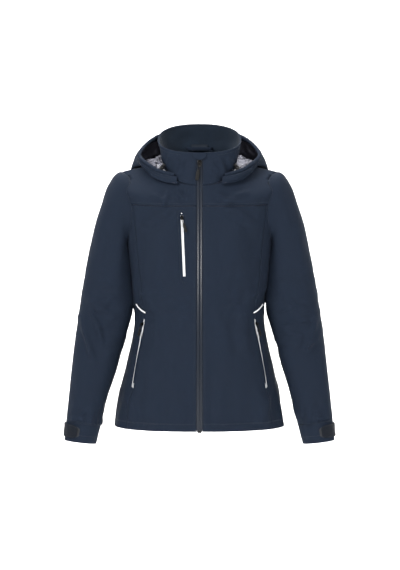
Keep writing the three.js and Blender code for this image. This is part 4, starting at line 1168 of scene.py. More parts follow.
def build_body_panels():
    """The front, side, back and yoke panels, cut out for the sleeves and the pocket zips."""
    cores = {hand: sleeve_core(hand, -1.0) for _, hand in SIDES}
    chest_slot = slot_solid(CHEST, CHEST_SLOT, -4.2, -6)
    round_end = HAND_SLOT / 2
    hand_slots = {hand: slot_solid(HANDS[hand], HAND_SLOT, round_end, round_end) for _, hand in SIDES}
    threads = []

    def meridian(angle, side, hand=1):
        return lambda v: hand * (angle + side * seam_gap(v))

    def panel(name, place, size, edges, cutters, thread_edges, step=4.5):
        made = Cloth(torso, place, size, step, 0, SHELL, edges, drape_of_body)
        obj = cut_away(mesh_object(name, made.solid(), FINISH["shell"]), *cutters)
        finish_piece(obj, "jacket", "shell", name)
        for edge, distance in thread_edges:
            threads.extend(outside_sleeves(made.inset(edge, distance)))

    hem_rows = [(3, row) for row in HEM_ROWS]
    opening_rows = [(0, row) for row in EDGE_ROWS]
    yoke_rows = [(3, NEAR_ROW), (3, FAR_ROW)]

    for side, hand in SIDES:
        slots = [hand_slots[hand]] + ([chest_slot] if hand < 0 else [])
        front = lower_place(lambda v, h=hand: h * zip_edge(v), meridian(SIDE_SEAM, -1, hand))
        panel(
            f"front_panel_{side}", front, (205, 560), ("rolled", "seam", "seam", "hem"),
            [cores[hand], *slots], [*opening_rows, *hem_rows, (2, NEAR_ROW)],
        )
        flank = lower_place(meridian(SIDE_SEAM, 1, hand), meridian(BACK_SEAM, -1, hand))
        panel(
            f"side_panel_{side}", flank, (250, 560), ("seam", "seam", "seam", "hem"),
            [cores[hand], hand_slots[hand]], [(0, NEAR_ROW), *hem_rows, (1, NEAR_ROW)],
        )
        yoke = upper_place(lambda v, h=hand: h * zip_edge(v), meridian(PI / 2, -1.2, hand))
        panel(
            f"front_yoke_{side}", yoke, (180, 60), ("rolled", "seam", "seam", "seam"),
            [cores[hand]], [*opening_rows, *yoke_rows], step=3.2,
        )
    both = list(cores.values())
    rear = lower_place(lambda v: BACK_SEAM + seam_gap(v), lambda v: 2 * PI - BACK_SEAM - seam_gap(v))
    panel(
        "back_panel", rear, (330, 560), ("seam", "seam", "seam", "hem"),
        both, [*hem_rows, (2, NEAR_ROW), (0, NEAR_ROW), (1, NEAR_ROW)],
    )
    back_yoke = upper_place(lambda v: PI / 2 + 1.2 * seam_gap(v), lambda v: 1.5 * PI - 1.2 * seam_gap(v))
    sides = [(0, NEAR_ROW), (1, NEAR_ROW)]
    panel("back_yoke", back_yoke, (390, 110), "seam", both, [*yoke_rows, *sides], step=4)
    finish_thread("body_stitches", threads, "jacket")


SLEEVE_TREES = {}


def outside_sleeves(line):
    """The stretches of a line that lie outside both sleeves and clear of the zip slots."""
    keep = np.ones(len(line), bool)
    for _, hand in SIDES:
        if hand not in SLEEVE_TREES:
            SLEEVE_TREES[hand] = tree_of(sleeve_core(hand, 1.5))
        tree = SLEEVE_TREES[hand]
        for i, p in enumerate(line):
            if abs(p[0]) > 120 and p[2] > -260:
                place, normal, _, _ = tree.find_nearest(Vector(p))
                keep[i] &= (Vector(p) - place).dot(normal) > 0
        far, _ = line_distance(line * (hand, 1, 1), HAND_ZIP)
        keep &= ~((far < 7) & (line[:, 1] < 30))
    runs, run = [], []
    for p, ok in zip(line, keep):
        if ok:
            run.append(p)
        elif run:
            runs.append(np.array(run))
            run = []
    if run:
        runs.append(np.array(run))
    return [r for r in runs if len(r) > 2]


def tree_of(solid):
    points = np.concatenate(solid.points)
    return BVHTree.FromPolygons([Vector(p) for p in points], solid.faces)


def lining_edge(v):
    return angle_across(16 / along(BODY_RINGS[:, 0], v))


def build_body_inside():
    """The lining, the hem's facing and cord, the storm flap and the pocket bags."""
    cores = [sleeve_core(hand, -SHELL) for _, hand in SIDES]
    facing_ring = float(ring_at(PI / 2, -LENGTH + FACING_HEIGHT))
    depth = -SHELL - AIR

    def place(p, q):
        v = mix(0.25, facing_ring, q)
        return mix(lining_edge(v), 2 * PI - lining_edge(v), p), v

    made = Cloth(torso, place, (1000, 580), 8, depth, LINING, "plain", drape_of_body)
    slots = [slot_solid(track, 17, 8.5, 8.5) for track in (CHEST, *HANDS.values())]
    obj = cut_away(mesh_object("body_lining", made.solid(), FINISH["lining"]), *cores, *slots)
    finish_piece(obj, "jacket", "lining", "body_lining")

    def facing_place(p, q):
        v = mix(facing_ring + 0.1, HEM - 0.02, q)
        return mix(lining_edge(v), 2 * PI - lining_edge(v), p), v

    facing = Cloth(torso, facing_place, (1100, 34), 6, FACING_DEPTH, SHELL, "rolled")
    obj = mesh_object("hem_facing", facing.solid(), FINISH["shell"])
    finish_piece(obj, "jacket", "shell", "hem_facing")
    build_drawcord()
    build_storm_flap()
    build_pocket_bags()


def build_drawcord():
    """The elastic in the hem's channel, a round braid."""
    depth = FACING_DEPTH + 0.9 + CORD_RADIUS
    ring = float(ring_at(PI / 2, -LENGTH + FACING_HEIGHT / 3))
    angle = np.linspace(0.2 * PI, 1.8 * PI, 180)
    path = offset(torso, depth)(angle, np.full(180, ring))
    wave = 1 + 0.06 * np.sin(np.arange(180) * 2.3)
    obj = mesh_object("hem_drawcord", tube_solid(path, CORD_RADIUS * wave, 10), FINISH["elastic"])
    finish_piece(obj, "jacket", "elastic_cord", "hem_drawcord")


def band(track, start, end, low_x, high_x, low_y, high_y, step=6, across=4, crown=0.0, ripple=0.0):
    """A closed strip along a zip, with a crowned face."""
    d = np.linspace(start, end, max(3, int((end - start) / step)))
    x = np.linspace(low_x, high_x, across + 1)
    dd, xx = np.meshgrid(d, x, indexing="ij")
    share = (xx - low_x) / (high_x - low_x)
    lift = crown * (1 - (2 * share - 1) ** 2)
    flat = track.place(dd, xx, np.zeros_like(xx))
    wave = ripple * waves(flat, 40, 1) if ripple else 0
    outer = track.place(dd, xx, high_y + lift + wave)
    inner = track.place(dd, xx, np.full_like(xx, low_y) + wave)
    return double_sheet(outer, inner)


def build_storm_flap():
    """The flap behind the main zip, with the ridge that guides the slider."""
    end = MAIN.length - 4
    flap = band(MAIN, 0, end, -20, 20, -8.1, -6.9, across=16, ripple=0.25)
    ridge = band(MAIN, 90, end - 4, 11, 13, -7.3, -2.2)
    obj = mesh_object("storm_flap", join(flap, ridge), FINISH["shell"])
    finish_piece(obj, "jacket", "shell", "storm_flap")


def build_pocket_bags():
    """Each pocket's bag hangs inside, from a wall of cloth beside its zip."""
    depth = -SHELL - 2 * AIR - LINING - 2.2

    def bag(name, track, places, hand, side, far_x):
        top, bottom = places[0], places[-1]

        def place(p, q):
            z = mix(top[1] - 6.0, bottom[1] - 22.0, q)
            edge = mix(top[0], bottom[0], np.clip((z - top[1]) / (bottom[1] - top[1]), 0, 1)) * hand
            return front_place(mix(far_x, edge, p), z)

        def sag(base, u, v):
            share = np.linspace(0, 1, base.shape[0])[:, None] * np.ones(base.shape[1])
            down = np.linspace(0, 1, base.shape[1])[None] * np.ones((base.shape[0], 1))
            inside = ramp(16 * share * (1 - share) * down * (1 - down), 0, 1)
            return -0.9 * inside * (0.6 + 0.5 * waves(base, 40, 17))

        sheet = Cloth(torso, place, (75, 180), 6, depth, 1.4, "rolled", sag)
        near = 3.7
        low, high = sorted((near * side, (near + 2) * side))
        wall = band(track, 8, track.length - 8, low, high, depth - 1, -SHELL - 2.4, across=2)
        low, high = sorted((near * side, (near + 0.45) * side))
        lip = band(track, 8, track.length - 8, low, high, -SHELL - 3, -0.85, across=2)
        obj = mesh_object(name, join(sheet.solid(), wall, lip), FINISH["lining"])
        finish_piece(obj, "jacket", "lining", name)

    bag("chest_pocket_bag", CHEST, CHEST_ZIP, 1, 1, -115)
    for side, hand in SIDES:
        bag(f"hand_pocket_bag_{side}", HANDS[hand], HAND_ZIP, hand, hand, 60 * hand)


# ------------------------------------------------------------------ collar


def collar_edge(t):
    return angle_across(ZIP_OPENING / 2 / mix(NECK_HALF, COLLAR_HALF, t))


def collar_place(bottom, top):
    def place(p, q):
        t = mix(top, bottom, q)
        return mix(collar_edge(t), 2 * PI - collar_edge(t), p), 1 - t

    return place


def build_collar():
    """The stand collar with its rolled top edge and brushed lining."""

    def outer_drape(base, u, v):
        rows = ramp(v, 0.05, 0.3) * ramp(1 - v, 0, 0.25)
        calm = ramp(np.abs(np.sin(u / 2)), 0.06, 0.2)
        soft = 1.5 * waves(base, 58, 41, (1.5, 1.5, 0.8)) + 0.6 * waves(base, 24, 42)
        return rows * calm * np.clip(soft + folded(base, COLLAR_FOLDS), -2.6, 3.6)

    edges = ("rolled", "rolled", "plain", "seam")
    outer = Cloth(collar, collar_place(0.0, 1), (560, 78), 4, 0, SHELL, edges, outer_drape)
    top = mix(outer.outer[:, 0], outer.inner[:, 0], 0.5)
    down = unit(outer.outer[:, 3] - outer.outer[:, 0])
    inward = -outer.normals[:, 1]
    edge = tube_solid(top + down * 0.6 + inward * 0.9, 1.75, 10)
    obj = mesh_object("collar_outer", join(outer.solid(), edge), FINISH["shell"])
    finish_piece(obj, "jacket", "shell", "collar_outer")

    def pile(base, u, v):
        inside = ramp(v, 0.02, 0.2)
        folds = 1.1 * waves(base, 46, 43, (1.2, 1.2, 1)) + 0.6 * creases(waves(base, 60, 44, (0.8, 0.8, 2)))
        return -inside * np.clip(folds + 0.9, 0, 3.4)

    inner = Cloth(collar, collar_place(0.02, 0.985), (540, 76), 4, -SHELL - 1, SHELL, "rolled", pile)
    obj = mesh_object("collar_lining", inner.solid(), FINISH["brushed"])
    finish_piece(obj, "jacket", "brushed_lining", "collar_lining")
    lines = [outer.inset(2, 7)[12:-12], *(outer.inset(edge, EDGE_ROWS[0]) for edge in (0, 1))]
    finish_thread("collar_stitches", lines, "jacket")
    build_garage()
    build_hanger_and_label()


def build_garage():
    """The flap that folds over the zip's top end, loose along its wearer's-left edge."""
    bottom = 1 - 17 / 78

    def place(p, q):
        x = mix(-17.0, 17.0, p)
        curved = bottom + (1 - bottom) * 0.45 * (2 * p - 1) ** 2
        return angle_across(x / COLLAR_HALF), 1 - mix(1.005, curved, q)

    def bulge(base, u, v):
        loose = ramp(base[..., 0], 0, 11) * ramp(v, 0.03, 0.2)
        return 2.8 * loose + 0.6 * np.exp(-((base[..., 0] / 7) ** 2))

    made = Cloth(collar, place, (34, 17), 1.6, 2.4, SHELL, "rolled", bulge)
    obj = mesh_object("zip_garage", made.solid(), FINISH["shell"])
    finish_piece(obj, "jacket", "shell", "zip_garage")


def build_hanger_and_label():
    """The strap across the back of the neck, and the blank label below it."""
    low, high = (np.array(c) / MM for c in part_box("hanger_loop"))
    seat, reach = high[1] - 0.3, low[1] + 0.9
    z = (low[2] + high[2]) / 2
    corners = [(low[0] + 1, seat), (low[0] + 5, reach), (high[0] - 5, reach), (high[0] - 1, seat)]
    shape = rounded(corners, 8, 0.18)[5:-5]
    path = np.stack([shape[:, 0], shape[:, 1], z + 0.6 * np.sin(np.linspace(0, PI, len(shape)))], 1)
    middle = np.array((0, high[1] + 30, z))
    strap = tube_solid(path, 3.9, 12, 0.2, out=unit(path - middle))
    obj = mesh_object("hanger_loop", strap, FINISH["shell"])
    finish_piece(obj, "jacket", "shell", "hanger_loop")

    def place(p, q):
        angle = PI + mix(-1, 1, p) * angle_across(19 / NECK_HALF)
        return angle, 1 - mix(0.1, 0.1 + 18 / 85, q)

    def curl(base, u, v):
        return -0.3 * ramp(np.abs(u - PI), 0.18, 0.24)

    label = Cloth(collar, place, (38, 18), 1.6, -SHELL * 2 - 1.5 - 3.6, 0.6, "rolled", curl)
    obj = mesh_object("neck_label", label.solid(), FINISH["label"])
    finish_piece(obj, "jacket", "label", "neck_label")


# ------------------------------------------------------------------ hood


# Turned profiles of a cord lock, as radius and place along it: its barrel, and its sprung button.
LOCK_BARREL = (
    (0.4, -6), (4.6, -6), (5.3, -5.4), (5.5, -4.6), (5.5, -1), (5.1, -0.6), (5.1, 0.6), (5.5, 1), (5.5, 5),
    (5.2, 5.8), (4.6, 6), (4.0, 5.7), (3.9, 5), (3.9, -2), (0.4, -2),
)
LOCK_BUTTON = (
    (0.3, 5.9), (2.9, 5.9), (3.1, 6.2), (3.1, 10.2), (4.2, 10.5), (4.6, 11), (4.6, 12.3), (4.2, 12.9),
    (2.4, 13.1), (1.2, 12.7), (0.3, 12.6),
)


def build_hood():
    """The hood's pouch with its lining, and the padded channel along its rim."""

    def place(first, last, spread):
        return lambda p, q: (mix(-0.985, 0.985, p) * spread, mix(first, last, q))

    rows = np.concatenate([np.linspace(0, 0.42, 12), np.linspace(0.44, 0.56, 9), np.linspace(0.58, 1, 26)])

    def outside(base, u, v):
        over = ramp(v, 0.52, 0.66) * ramp(1.02 - v, 0, 0.14)
        tips = ramp(1 - np.abs(u), 0.03, 0.2)
        folds = 2.2 * waves(base, 74, 51, (1.6, 1.6, 1)) + 1.6 * creases(waves(base, 60, 52, (0.7, 0.7, 1.8)))
        return over * tips * np.clip(folds + 1.2, -1.0, 5)

    shell = Cloth(hood, place(0, 1, 1), (760, 200), 5, HOOD_SHELL, HOOD_SHELL, "plain", outside, rows=rows)
    obj = mesh_object("hood_shell", shell.solid(), FINISH["shell"], 60)
    finish_piece(obj, "jacket", "shell", "hood_shell")

    def inside(base, u, v):
        clear = ramp(np.abs(v - 0.5), 0.02, 0.12) * ramp(1.0 - v, 0.02, 0.12) * ramp(v, 0.02, 0.1)
        tips = ramp(1 - np.abs(u), 0.08, 0.4)
        big = creases(waves(base, 52, 61, (0.8, 0.8, 1.4)))
        small = creases(waves(base, 23, 62))
        height = 3.4 * big + 1.3 * small + 1.2 * waves(base, 34, 63)
        return -clear * tips * np.clip(height + 3.2, 0, 8)

    lining = Cloth(
        hood, place(0.02, 0.975, 0.975), (760, 190), 2.6, -HOOD_AIR, LINING, "plain", inside,
        rows=np.linspace(0, 1, 90),
    )
    obj = mesh_object("hood_lining", lining.solid(), FINISH["lining"], 75)
    finish_piece(obj, "jacket", "lining", "hood_lining")

    count = 260
    turn, step = np.linspace(-0.96, 0.96, count), np.arange(count)
    rim = hood(turn, np.ones(count))
    onward = unit(rim - hood(turn, np.full(count, 0.97)))
    gather = 1 + 0.05 * np.sin(step * 1.1) + 0.04 * np.sin(step * 2.7 + 1)
    radius = 4.6 * gather * (0.6 + 0.4 * ramp(1 - np.abs(turn), 0.03, 0.09))
    channel = tube_solid(rim + onward * 4.8, radius, 16)
    obj = mesh_object("hood_rim", channel, FINISH["shell"])
    finish_piece(obj, "jacket", "shell", "hood_rim")
    lines = [shell.inset(3, 3), shell.inset(3, 9)]
    thread = mesh_object("hood_stitches", stitched(lines, STITCH, PITCH, ends=12), FINISH["thread"])
    finish_piece(thread, "jacket", "shell")
    build_hood_locks()


def build_hood_locks():
    """The cord locks in the hood's mouth, their buttons, and the elastic through each."""
    for side, hand in SIDES:
        lock_at = np.array((93 * hand, -52, -12.5))
        z = -unit(np.array((-0.72 * hand, -0.42, -0.55)))
        x = unit(np.cross((0, 0, 1), z))
        y = np.cross(z, x)

        def put(profile):
            made = lathe(profile)
            p = np.concatenate(made.points)
            return Solid().add(lock_at + p @ np.stack([x, y, z]), made.faces).outward()

        obj = mesh_object(f"hood_lock_{side}", put(LOCK_BARREL), FINISH["plastic"])
        finish_piece(obj, "jacket", "lock_plastic", f"hood_lock_{side}")
        obj = mesh_object(f"hood_button_{side}", put(LOCK_BUTTON), FINISH["plastic"])
        finish_piece(obj, f"hood_button_{side}", "lock_plastic", f"hood_button_{side}")
        path = lock_at + np.linspace(16.5, -17.5, 60)[:, None] * z
        wave = 1 + 0.09 * np.sin(np.arange(60) * 2.1)
        cord = tube_solid(path, CORD_RADIUS * wave, 10)
        obj = mesh_object(f"hood_cord_{side}", cord, FINISH["elastic"])
        finish_piece(obj, "jacket", "elastic_cord", f"hood_cord_{side}")


# ------------------------------------------------------------------ sleeves


def body_tree():
    """The body's own surface, for finding where a sleeve leaves it."""
    a, v = np.meshgrid(np.arange(220) / 220 * 2 * PI, np.linspace(0, HEM, 240), indexing="ij")
    p = torso(a, v)
    tree = tree_of(Solid().add(p, tube_faces(*p.shape[:2])))
    within = Vector((0, -60, -300))
    place, normal, _, _ = tree.find_nearest(within)
    sign = -1 if (within - place).dot(normal) > 0 else 1

    def outside_by(point):
        place, normal, _, _ = tree.find_nearest(Vector(point))
        return (Vector(point) - place).dot(normal) * sign

    return outside_by


def armhole(surface, angles, clearance, outside_by):
    """Where each line down the sleeve leaves the body."""
    s = np.linspace(0, 4.6, 70)
    starts = []
    for angle in angles:
        far = np.array([outside_by(p) for p in surface(np.full(70, angle), s)]) - clearance
        inside = np.flatnonzero(far <= 0)
        k = inside[-1] if len(inside) else 0
        k = min(k, 68)
        share = -far[k] / max(far[k + 1] - far[k], 1e-6) if far[k] <= 0 else 0
        starts.append(mix(s[k], s[k + 1], np.clip(share, 0, 1)))
    return np.array(starts)


def build_sleeves():
    """Each sleeve with its lining, blended at the shoulder, and its cuff."""
    outside_by = body_tree()
    for side, hand in SIDES:
        surface = sleeve(hand)
        down_arm = Vector((0.8 * hand, 0, -0.6))

        def arm(base, u, v, hand=hand):
            fold = bpy.context.scene.jacket_cloth.fold_height
            return arm_drape(base, u * hand, v, hand) * fold

        def hang(name, solid, material, slot, *nodes, side=side, down_arm=down_arm):
            """A piece of the sleeve, which stands for its nodes of the frame."""
            obj = mesh_object(name, solid, FINISH[material])
            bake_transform(obj)
            stand_for(obj, slot, *nodes)
            return obj

        def from_armhole(starts, last):
            return lambda p, q: (p * 2 * PI, mix(starts[:, None] + 0 * q, last, q))

        count = 120
        starts = armhole(surface, np.arange(count) / count * 2 * PI, -0.4, outside_by)
        made = Cloth(
            surface, from_armhole(starts, CUFF_START - 0.002), (count, 580), 1, 0, SHELL, "plain", arm, True,
            rows=graded(570, 4.5),
        )
        obj = hang(f"sleeve_{side}", made.solid(), "shell", "shell", f"sleeve_{side}")
        lines = [made.inset(edge, NEAR_ROW) for edge in (2, 3)]
        hang(f"sleeve_stitches_{side}", stitched(lines, STITCH, PITCH), "thread", "shell")

        count, skin = 60, -SHELL - AIR - 3
        starts = armhole(offset(surface, skin), np.arange(count) / count * 2 * PI, 1.1, outside_by)
        lining = Cloth(
            surface, from_armhole(starts, CUFF - 0.35), (count, 580), 1, skin, LINING, "plain", arm, True,
            rows=np.linspace(0, 1, 70),
        )
        name = f"sleeve_lining_{side}"
        obj = hang(name, lining.solid(), "lining", "lining", name)
        build_cuff(side, hand, surface)


def build_cuff(side, hand, surface):
    """The cuff, its loop patch and its grip tab, which peels about its sewn end."""

    def place(p, q):
        return p * 2 * PI, mix(CUFF_START + 0.002, CUFF, q)

    def gather(base, u, v):
        mid = np.sin(np.clip((v - CUFF_START) / (CUFF - CUFF_START), 0, 1) * PI)
        return 0.6 * mid * waves(base * (hand, 1, 1), 34, 71 + hand, (0.9, 0.9, 3))

    size, rows = (120, CUFF_HEIGHT), graded(CUFF_HEIGHT, 2.4)
    made = Cloth(surface, place, size, 1, 0, SHELL, "plain", gather, True, rows=rows)
    obj = mesh_object(f"cuff_{side}", made.solid(), FINISH["shell"])
    finish_piece(obj, f"sleeve_{side}", "shell", f"cuff_{side}")

    tab_length, tab_width = 74, 28
    tab_middle = (CUFF_START + CUFF) / 2 - 0.06
    half_girth = PI * (78 + 88) * 0.25
    sewn = math.radians(28)
    end = sewn - tab_length / half_girth * PI
    tab_half = tab_width / 2 / RING_LENGTH

    def strip(start, finish_angle, half):
        def strip_place(p, q):
            taper = 1 - (np.clip(p - 0.82, 0, 1) / 0.18) ** 2.4 * 0.42
            return hand * mix(start, finish_angle, p), tab_middle + (q - 0.5) * 2 * half * taper

        return strip_place

    patch = Cloth(surface, strip(sewn - 0.5, end - 0.12, tab_half * 0.8), (70, 22), 1.6, 1.7, 1, "rolled")
    obj = mesh_object(f"loop_patch_{side}", patch.solid(), FINISH["hook"])
    finish_piece(obj, f"sleeve_{side}", "hook_and_loop", f"loop_patch_{side}")

    def tab_relief(base, u, v):
        return 0.25 * waves(base, 22, 81)

    size = (tab_length, tab_width)
    tab = Cloth(surface, strip(sewn, end, tab_half), size, 1.5, 4.1, 1.8, "rolled", tab_relief)
    obj = mesh_object(f"cuff_tab_{side}", tab.solid(), FINISH["tab"])
    finish_piece(obj, f"cuff_tab_{side}", "shell", f"cuff_tab_{side}")
    lines = [tab.inset(edge, 2.4)[3:-3] for edge in (1, 2, 3)]
    thread = mesh_object(f"cuff_tab_stitches_{side}", stitched(lines, 2.2, 3.2), FINISH["thread"])
    finish_piece(thread, f"cuff_tab_{side}", "shell")
    lines = [made.inset(2, NEAR_ROW), made.inset(3, HEM_ROWS[0])]
    finish_thread(f"cuff_stitches_{side}", lines, f"sleeve_{side}")


# ------------------------------------------------------------------ zips

SLIDER_OUTLINE = ((-0.36, -0.5), (0.36, -0.5), (0.5, 0.1), (0.3, 0.5), (-0.3, 0.5), (-0.5, 0.1))
TAPE_TOP, TAPE_CLEAR, COIL_TOP, COIL_THICK = 0.5, 0.4, -0.8, 1.7
EYE_OUT = 2.3


def pin_height(plate):
    return TAPE_TOP + TAPE_CLEAR + plate + EYE_OUT + 0.3


def slider_solid(width, length, plate):
    """Two bevelled plates on a neck, with two ears that hold the pull's pin."""
    outline = rounded([(x * width, z * length) for x, z in SLIDER_OUTLINE], 4, 0.22)
    top = TAPE_TOP + TAPE_CLEAR
    bottom = COIL_TOP - COIL_THICK - TAPE_CLEAR - plate
    pin = pin_height(plate)
    face = slab(outline, top, top + plate, 0.35, 0.35)
    under = slab(outline, bottom, bottom + plate, 0.35)
    low, high = length * 0.045, length * 0.39
    neck = rounded([(-1.1, low), (1.1, low), (1.1, high), (-1.1, high)])
    neck = slab(neck, bottom + 0.2, top + 0.2, 0.1)
    parts = [face, under, neck]
    for hand in (-1, 1):
        arc = np.linspace(0, PI, 9)
        foot = top + plate - 0.3
        arch = [(2.0 * -math.cos(a), pin + 1.6 * math.sin(a)) for a in arc]
        ear = np.array([(-2.4, foot), *arch, (2.4, foot)])
        rings = [
            np.stack([np.full(len(ear), x), ear[:, 1], ear[:, 0]], 1)
            for x in (hand * 2.7 - 0.5, hand * 2.7 + 0.5)
        ]
        parts.append(ring_stack(np.array(rings)))
    bar = np.array([(-3.4, pin, 0), (-3.2, pin, 0), (3.2, pin, 0), (3.4, pin, 0)])
    parts.append(tube_solid(bar, [0.5, 0.8, 0.8, 0.5], 12))
    return join(*parts)


def pull_solid(length, width, plate, beads):
    """A metal link round the pin, and the grip that hangs from it."""
    pin = pin_height(plate)
    turn = np.linspace(0, 2 * PI, 22, endpoint=False)
    wire = 0.55
    side = min(1.9, width * 0.3)
    link_end = length * 0.4
    loop = rounded([(-side, 1.7), (side, 1.7), (side * 0.8, -link_end), (-side * 0.8, -link_end)], 7, 0.28)
    ring = np.stack([loop[:, 0], np.full(len(loop), pin + 0.9), loop[:, 1]], 1)
    closed = np.concatenate([ring, ring[:2]])
    link = [tube_solid(closed, wire, 8, out=(0, 1, 0))]
    for k in range(beads):
        z = -link_end * (0.28 + 0.5 * k / max(beads - 1, 1))
        profile = [(0.05, -1.0), (0.9, -0.75), (1.35, 0), (0.9, 0.75), (0.05, 1.0)]
        ball = lathe(profile, 14)
        p = np.concatenate(ball.points) + (0, pin + 0.9, z)
        link.append(Solid().add(p, ball.faces))
    share = np.linspace(0, 1, 26)
    z = -link_end + 1.5 - share * (length - link_end - 1)
    tip = 1 - (np.clip(share - 0.86, 0, 1) / 0.15) ** 2
    half = width / 2 * (0.62 + 0.38 * ramp(share, 0, 0.3)) * np.sqrt(np.clip(tip, 0.06, 1))
    ribs = 0.16 * np.cos(share * 2 * PI * 7) * ramp(share, 0.2, 0.3) * ramp(0.95 - share, 0, 0.1)
    thick = 1.5 * (0.7 + 0.3 * ramp(share, 0, 0.25)) * np.sqrt(np.clip(tip, 0.1, 1)) + ribs
    rings = []
    for zz, hh, tt in zip(z, half, thick):
        x = hh * np.sign(np.cos(turn)) * np.abs(np.cos(turn)) ** 0.6
        y = tt * np.sign(np.sin(turn)) * np.abs(np.sin(turn)) ** 0.7
        rings.append(np.stack([x, pin + 0.9 + y, np.full(len(x), zz)], 1))
    return join(*link), ring_stack(np.array(rings))


def add_slider(name, track, parked, slider, pull, tilt, beads=0):
    """A slider parked on its zip, and its pull hanging from a link."""
    body = slider_solid(*slider)
    obj = mesh_object(f"{name}_slider", placed(body, track, parked), FINISH["metal"])
    finish_piece(obj, f"{name}_slider", "slider_metal", f"{name}_slider")
    link, grip = pull_solid(*pull, slider[2], beads)
    link = mesh_object(f"{name}_pull_link", placed(link, track, parked, tilt), FINISH["metal"])
    finish_piece(link, f"{name}_pull", "slider_metal")
    grip = mesh_object(f"{name}_pull", placed(grip, track, parked, tilt), FINISH["rubber"])
    finish_piece(grip, f"{name}_pull", "pull_rubber", f"{name}_pull")


def coil_solid(track, start, end, x, pitch=1.7):
    """The teeth of a coil zip: a flattened spiral along the tape."""
    turns = (end - start) / pitch
    count = int(turns * 7)
    d = np.linspace(start, end, count)
    turn = np.linspace(0, turns * 2 * PI, count)
    path = track.place(d, x + np.cos(turn), COIL_TOP - COIL_THICK / 2 + 0.6 * np.sin(turn))
    return tube_solid(path, 0.3, 4)


def build_main_zip():
    """The coated tapes, the coils, the slider and the box at the foot."""
    end = MAIN.length - 4
    for side, hand in SIDES:
        near, far = sorted((-hand * 0.25, -hand * 7.3))
        made = band(MAIN, 2, end + 3.4, near, far, -0.6, 0.25, 4, 8, crown=0.45)
        obj = mesh_object(f"main_zip_tape_{side}", made, FINISH["tape"])
        finish_piece(obj, "jacket", "zip_tape", f"main_zip_tape_{side}")
        coil = coil_solid(MAIN, 6, end - 8, -hand * 1.5)
        obj = mesh_object(f"main_zip_coil_{side}", coil, FINISH["coil"])
        finish_piece(obj, "jacket", "zip_coil", f"main_zip_coil_{side}")
    add_slider("main", MAIN, 26, (11.5, 16, 1.5), (46, 9), math.radians(9), 3)
    box = slab(rounded([(-5, -6.5), (5, -6.5), (5, 0), (-5, 0)], 5, 0.2), -3.4, 0.8, 0.5, 0.3)
    post = slab(rounded([(-0.9, -1), (0.9, -1), (0.9, 0.6), (-0.9, 0.6)]), -3, 0.5, 0.1)
    parts = join(placed(box, MAIN, end + 0.5), placed(post, MAIN, end + 0.3))
    obj = mesh_object("main_zip_box", parts, FINISH["metal"])
    finish_piece(obj, "jacket", "slider_metal", "main_zip_box")


def build_pocket_zips():
    """The pale tapes, sliders and pulls of the chest and hand pockets."""

    def tape(name, track):
        """Two halves that meet in the middle, joined by a short bridge at each end."""
        half, below = 4.1, track.length
        halves = [
            band(track, -3.8, below + 3.8, *sorted((k * 0.35, k * half)), -1.65, -0.95, 4, 6, crown=0.1)
            for k in (-1, 1)
        ]
        bridges = [
            band(track, start, start + 1.8, -half + 0.3, half - 0.3, -1.5, -0.9, 1)
            for start in (-3.6, below + 1.8)
        ]
        obj = mesh_object(name, join(*halves, *bridges), FINISH["reflective"])
        finish_piece(obj, "jacket", "reflective_tape", name)
        "front_panel_left" if "left" in name else "front_panel_right"

    tape("chest_zip_tape", CHEST)
    turn = np.arange(16) / 8 * PI
    dot = placed(slab(np.stack([1.5 * np.cos(turn), 1.5 * np.sin(turn)], 1), -0.3, 0.6, 0.2), CHEST, -1)
    dot = mesh_object("chest_zip_dot", dot, FINISH["reflective"])
    finish_piece(dot, "jacket", "reflective_tape")
    build_welt()
    add_slider("chest", CHEST, 10, (7, 11, 1.2), (40, 7.4), math.radians(-13))
    for side, hand in SIDES:
        tape(f"hand_zip_tape_{side}", HANDS[hand])
        add_slider(f"hand_{side}", HANDS[hand], 10, (6.6, 11, 1.2), (34, 6), math.radians(-6 * hand))


def build_welt():
    """A bonded frame round the chest pocket's mouth, with rounded ends and a row of stitches."""
    name, inner, outer, lift = "chest_pocket_welt", 3.5, 10.5, 0.6
    corner = np.linspace(0, PI, 13)
    d = np.linspace(0, CHEST.length, 40)
    side = np.concatenate([np.ones(40), np.cos(corner), -np.ones(40), -np.cos(corner)])
    top, bottom = [], []
    for g in np.linspace(0, 1, 7):
        bow = (inner * 0.9 + (outer - inner) * g) * np.sin(corner)
        dd = np.concatenate([d, CHEST.length + bow, d[::-1], -bow])
        edge = min(g, 1 - g) * (outer - inner)
        rise = lift * (1 - math.exp(-((edge / 0.7) ** 2))) + 0.05
        across = side * mix(inner, outer, g)
        top.append(CHEST.place(dd, across, np.full(len(dd), rise)))
        bottom.append(CHEST.place(dd, across, np.full(len(dd), -0.9)))
    top, bottom = np.array(top).swapaxes(0, 1), np.array(bottom).swapaxes(0, 1)
    obj = mesh_object(name, double_sheet(top, bottom, True), FINISH["shell"])
    finish_piece(obj, "jacket", "shell")
    row = top[:, 5]
    thread = stitched([np.concatenate([row, row[:1]])], 2.3, 3.4)
    thread = mesh_object(name + "_stitches", thread, FINISH["thread"])
    finish_piece(thread, "jacket", "shell")


def build_trims():
    """A curved run of piping set into each side of the waist."""
    for side, hand in SIDES:
        t = np.linspace(0, 1, 30)[:, None]
        a, b, c = (np.array(p, float) for p in PIPING)
        line = a * (1 - t) ** 2 + b * 2 * t * (1 - t) + c * t * t
        angle, v = front_place(line[:, 0] * hand, line[:, 1])
        normal = normal_of(torso, angle, v)
        path = torso(angle, v) + normal * 1.3
        taper = np.sqrt(np.clip(1 - (np.abs(2 * t[:, 0] - 1)) ** 14, 0.12, 1))
        solid = tube_solid(path, 2.0 * taper, 14, 0.55, out=normal)
        obj = mesh_object(f"waist_piping_{side}", solid, FINISH["reflective"])
        finish_piece(obj, "jacket", "reflective_tape", f"waist_piping_{side}")


# ------------------------------------------------------------------ stage


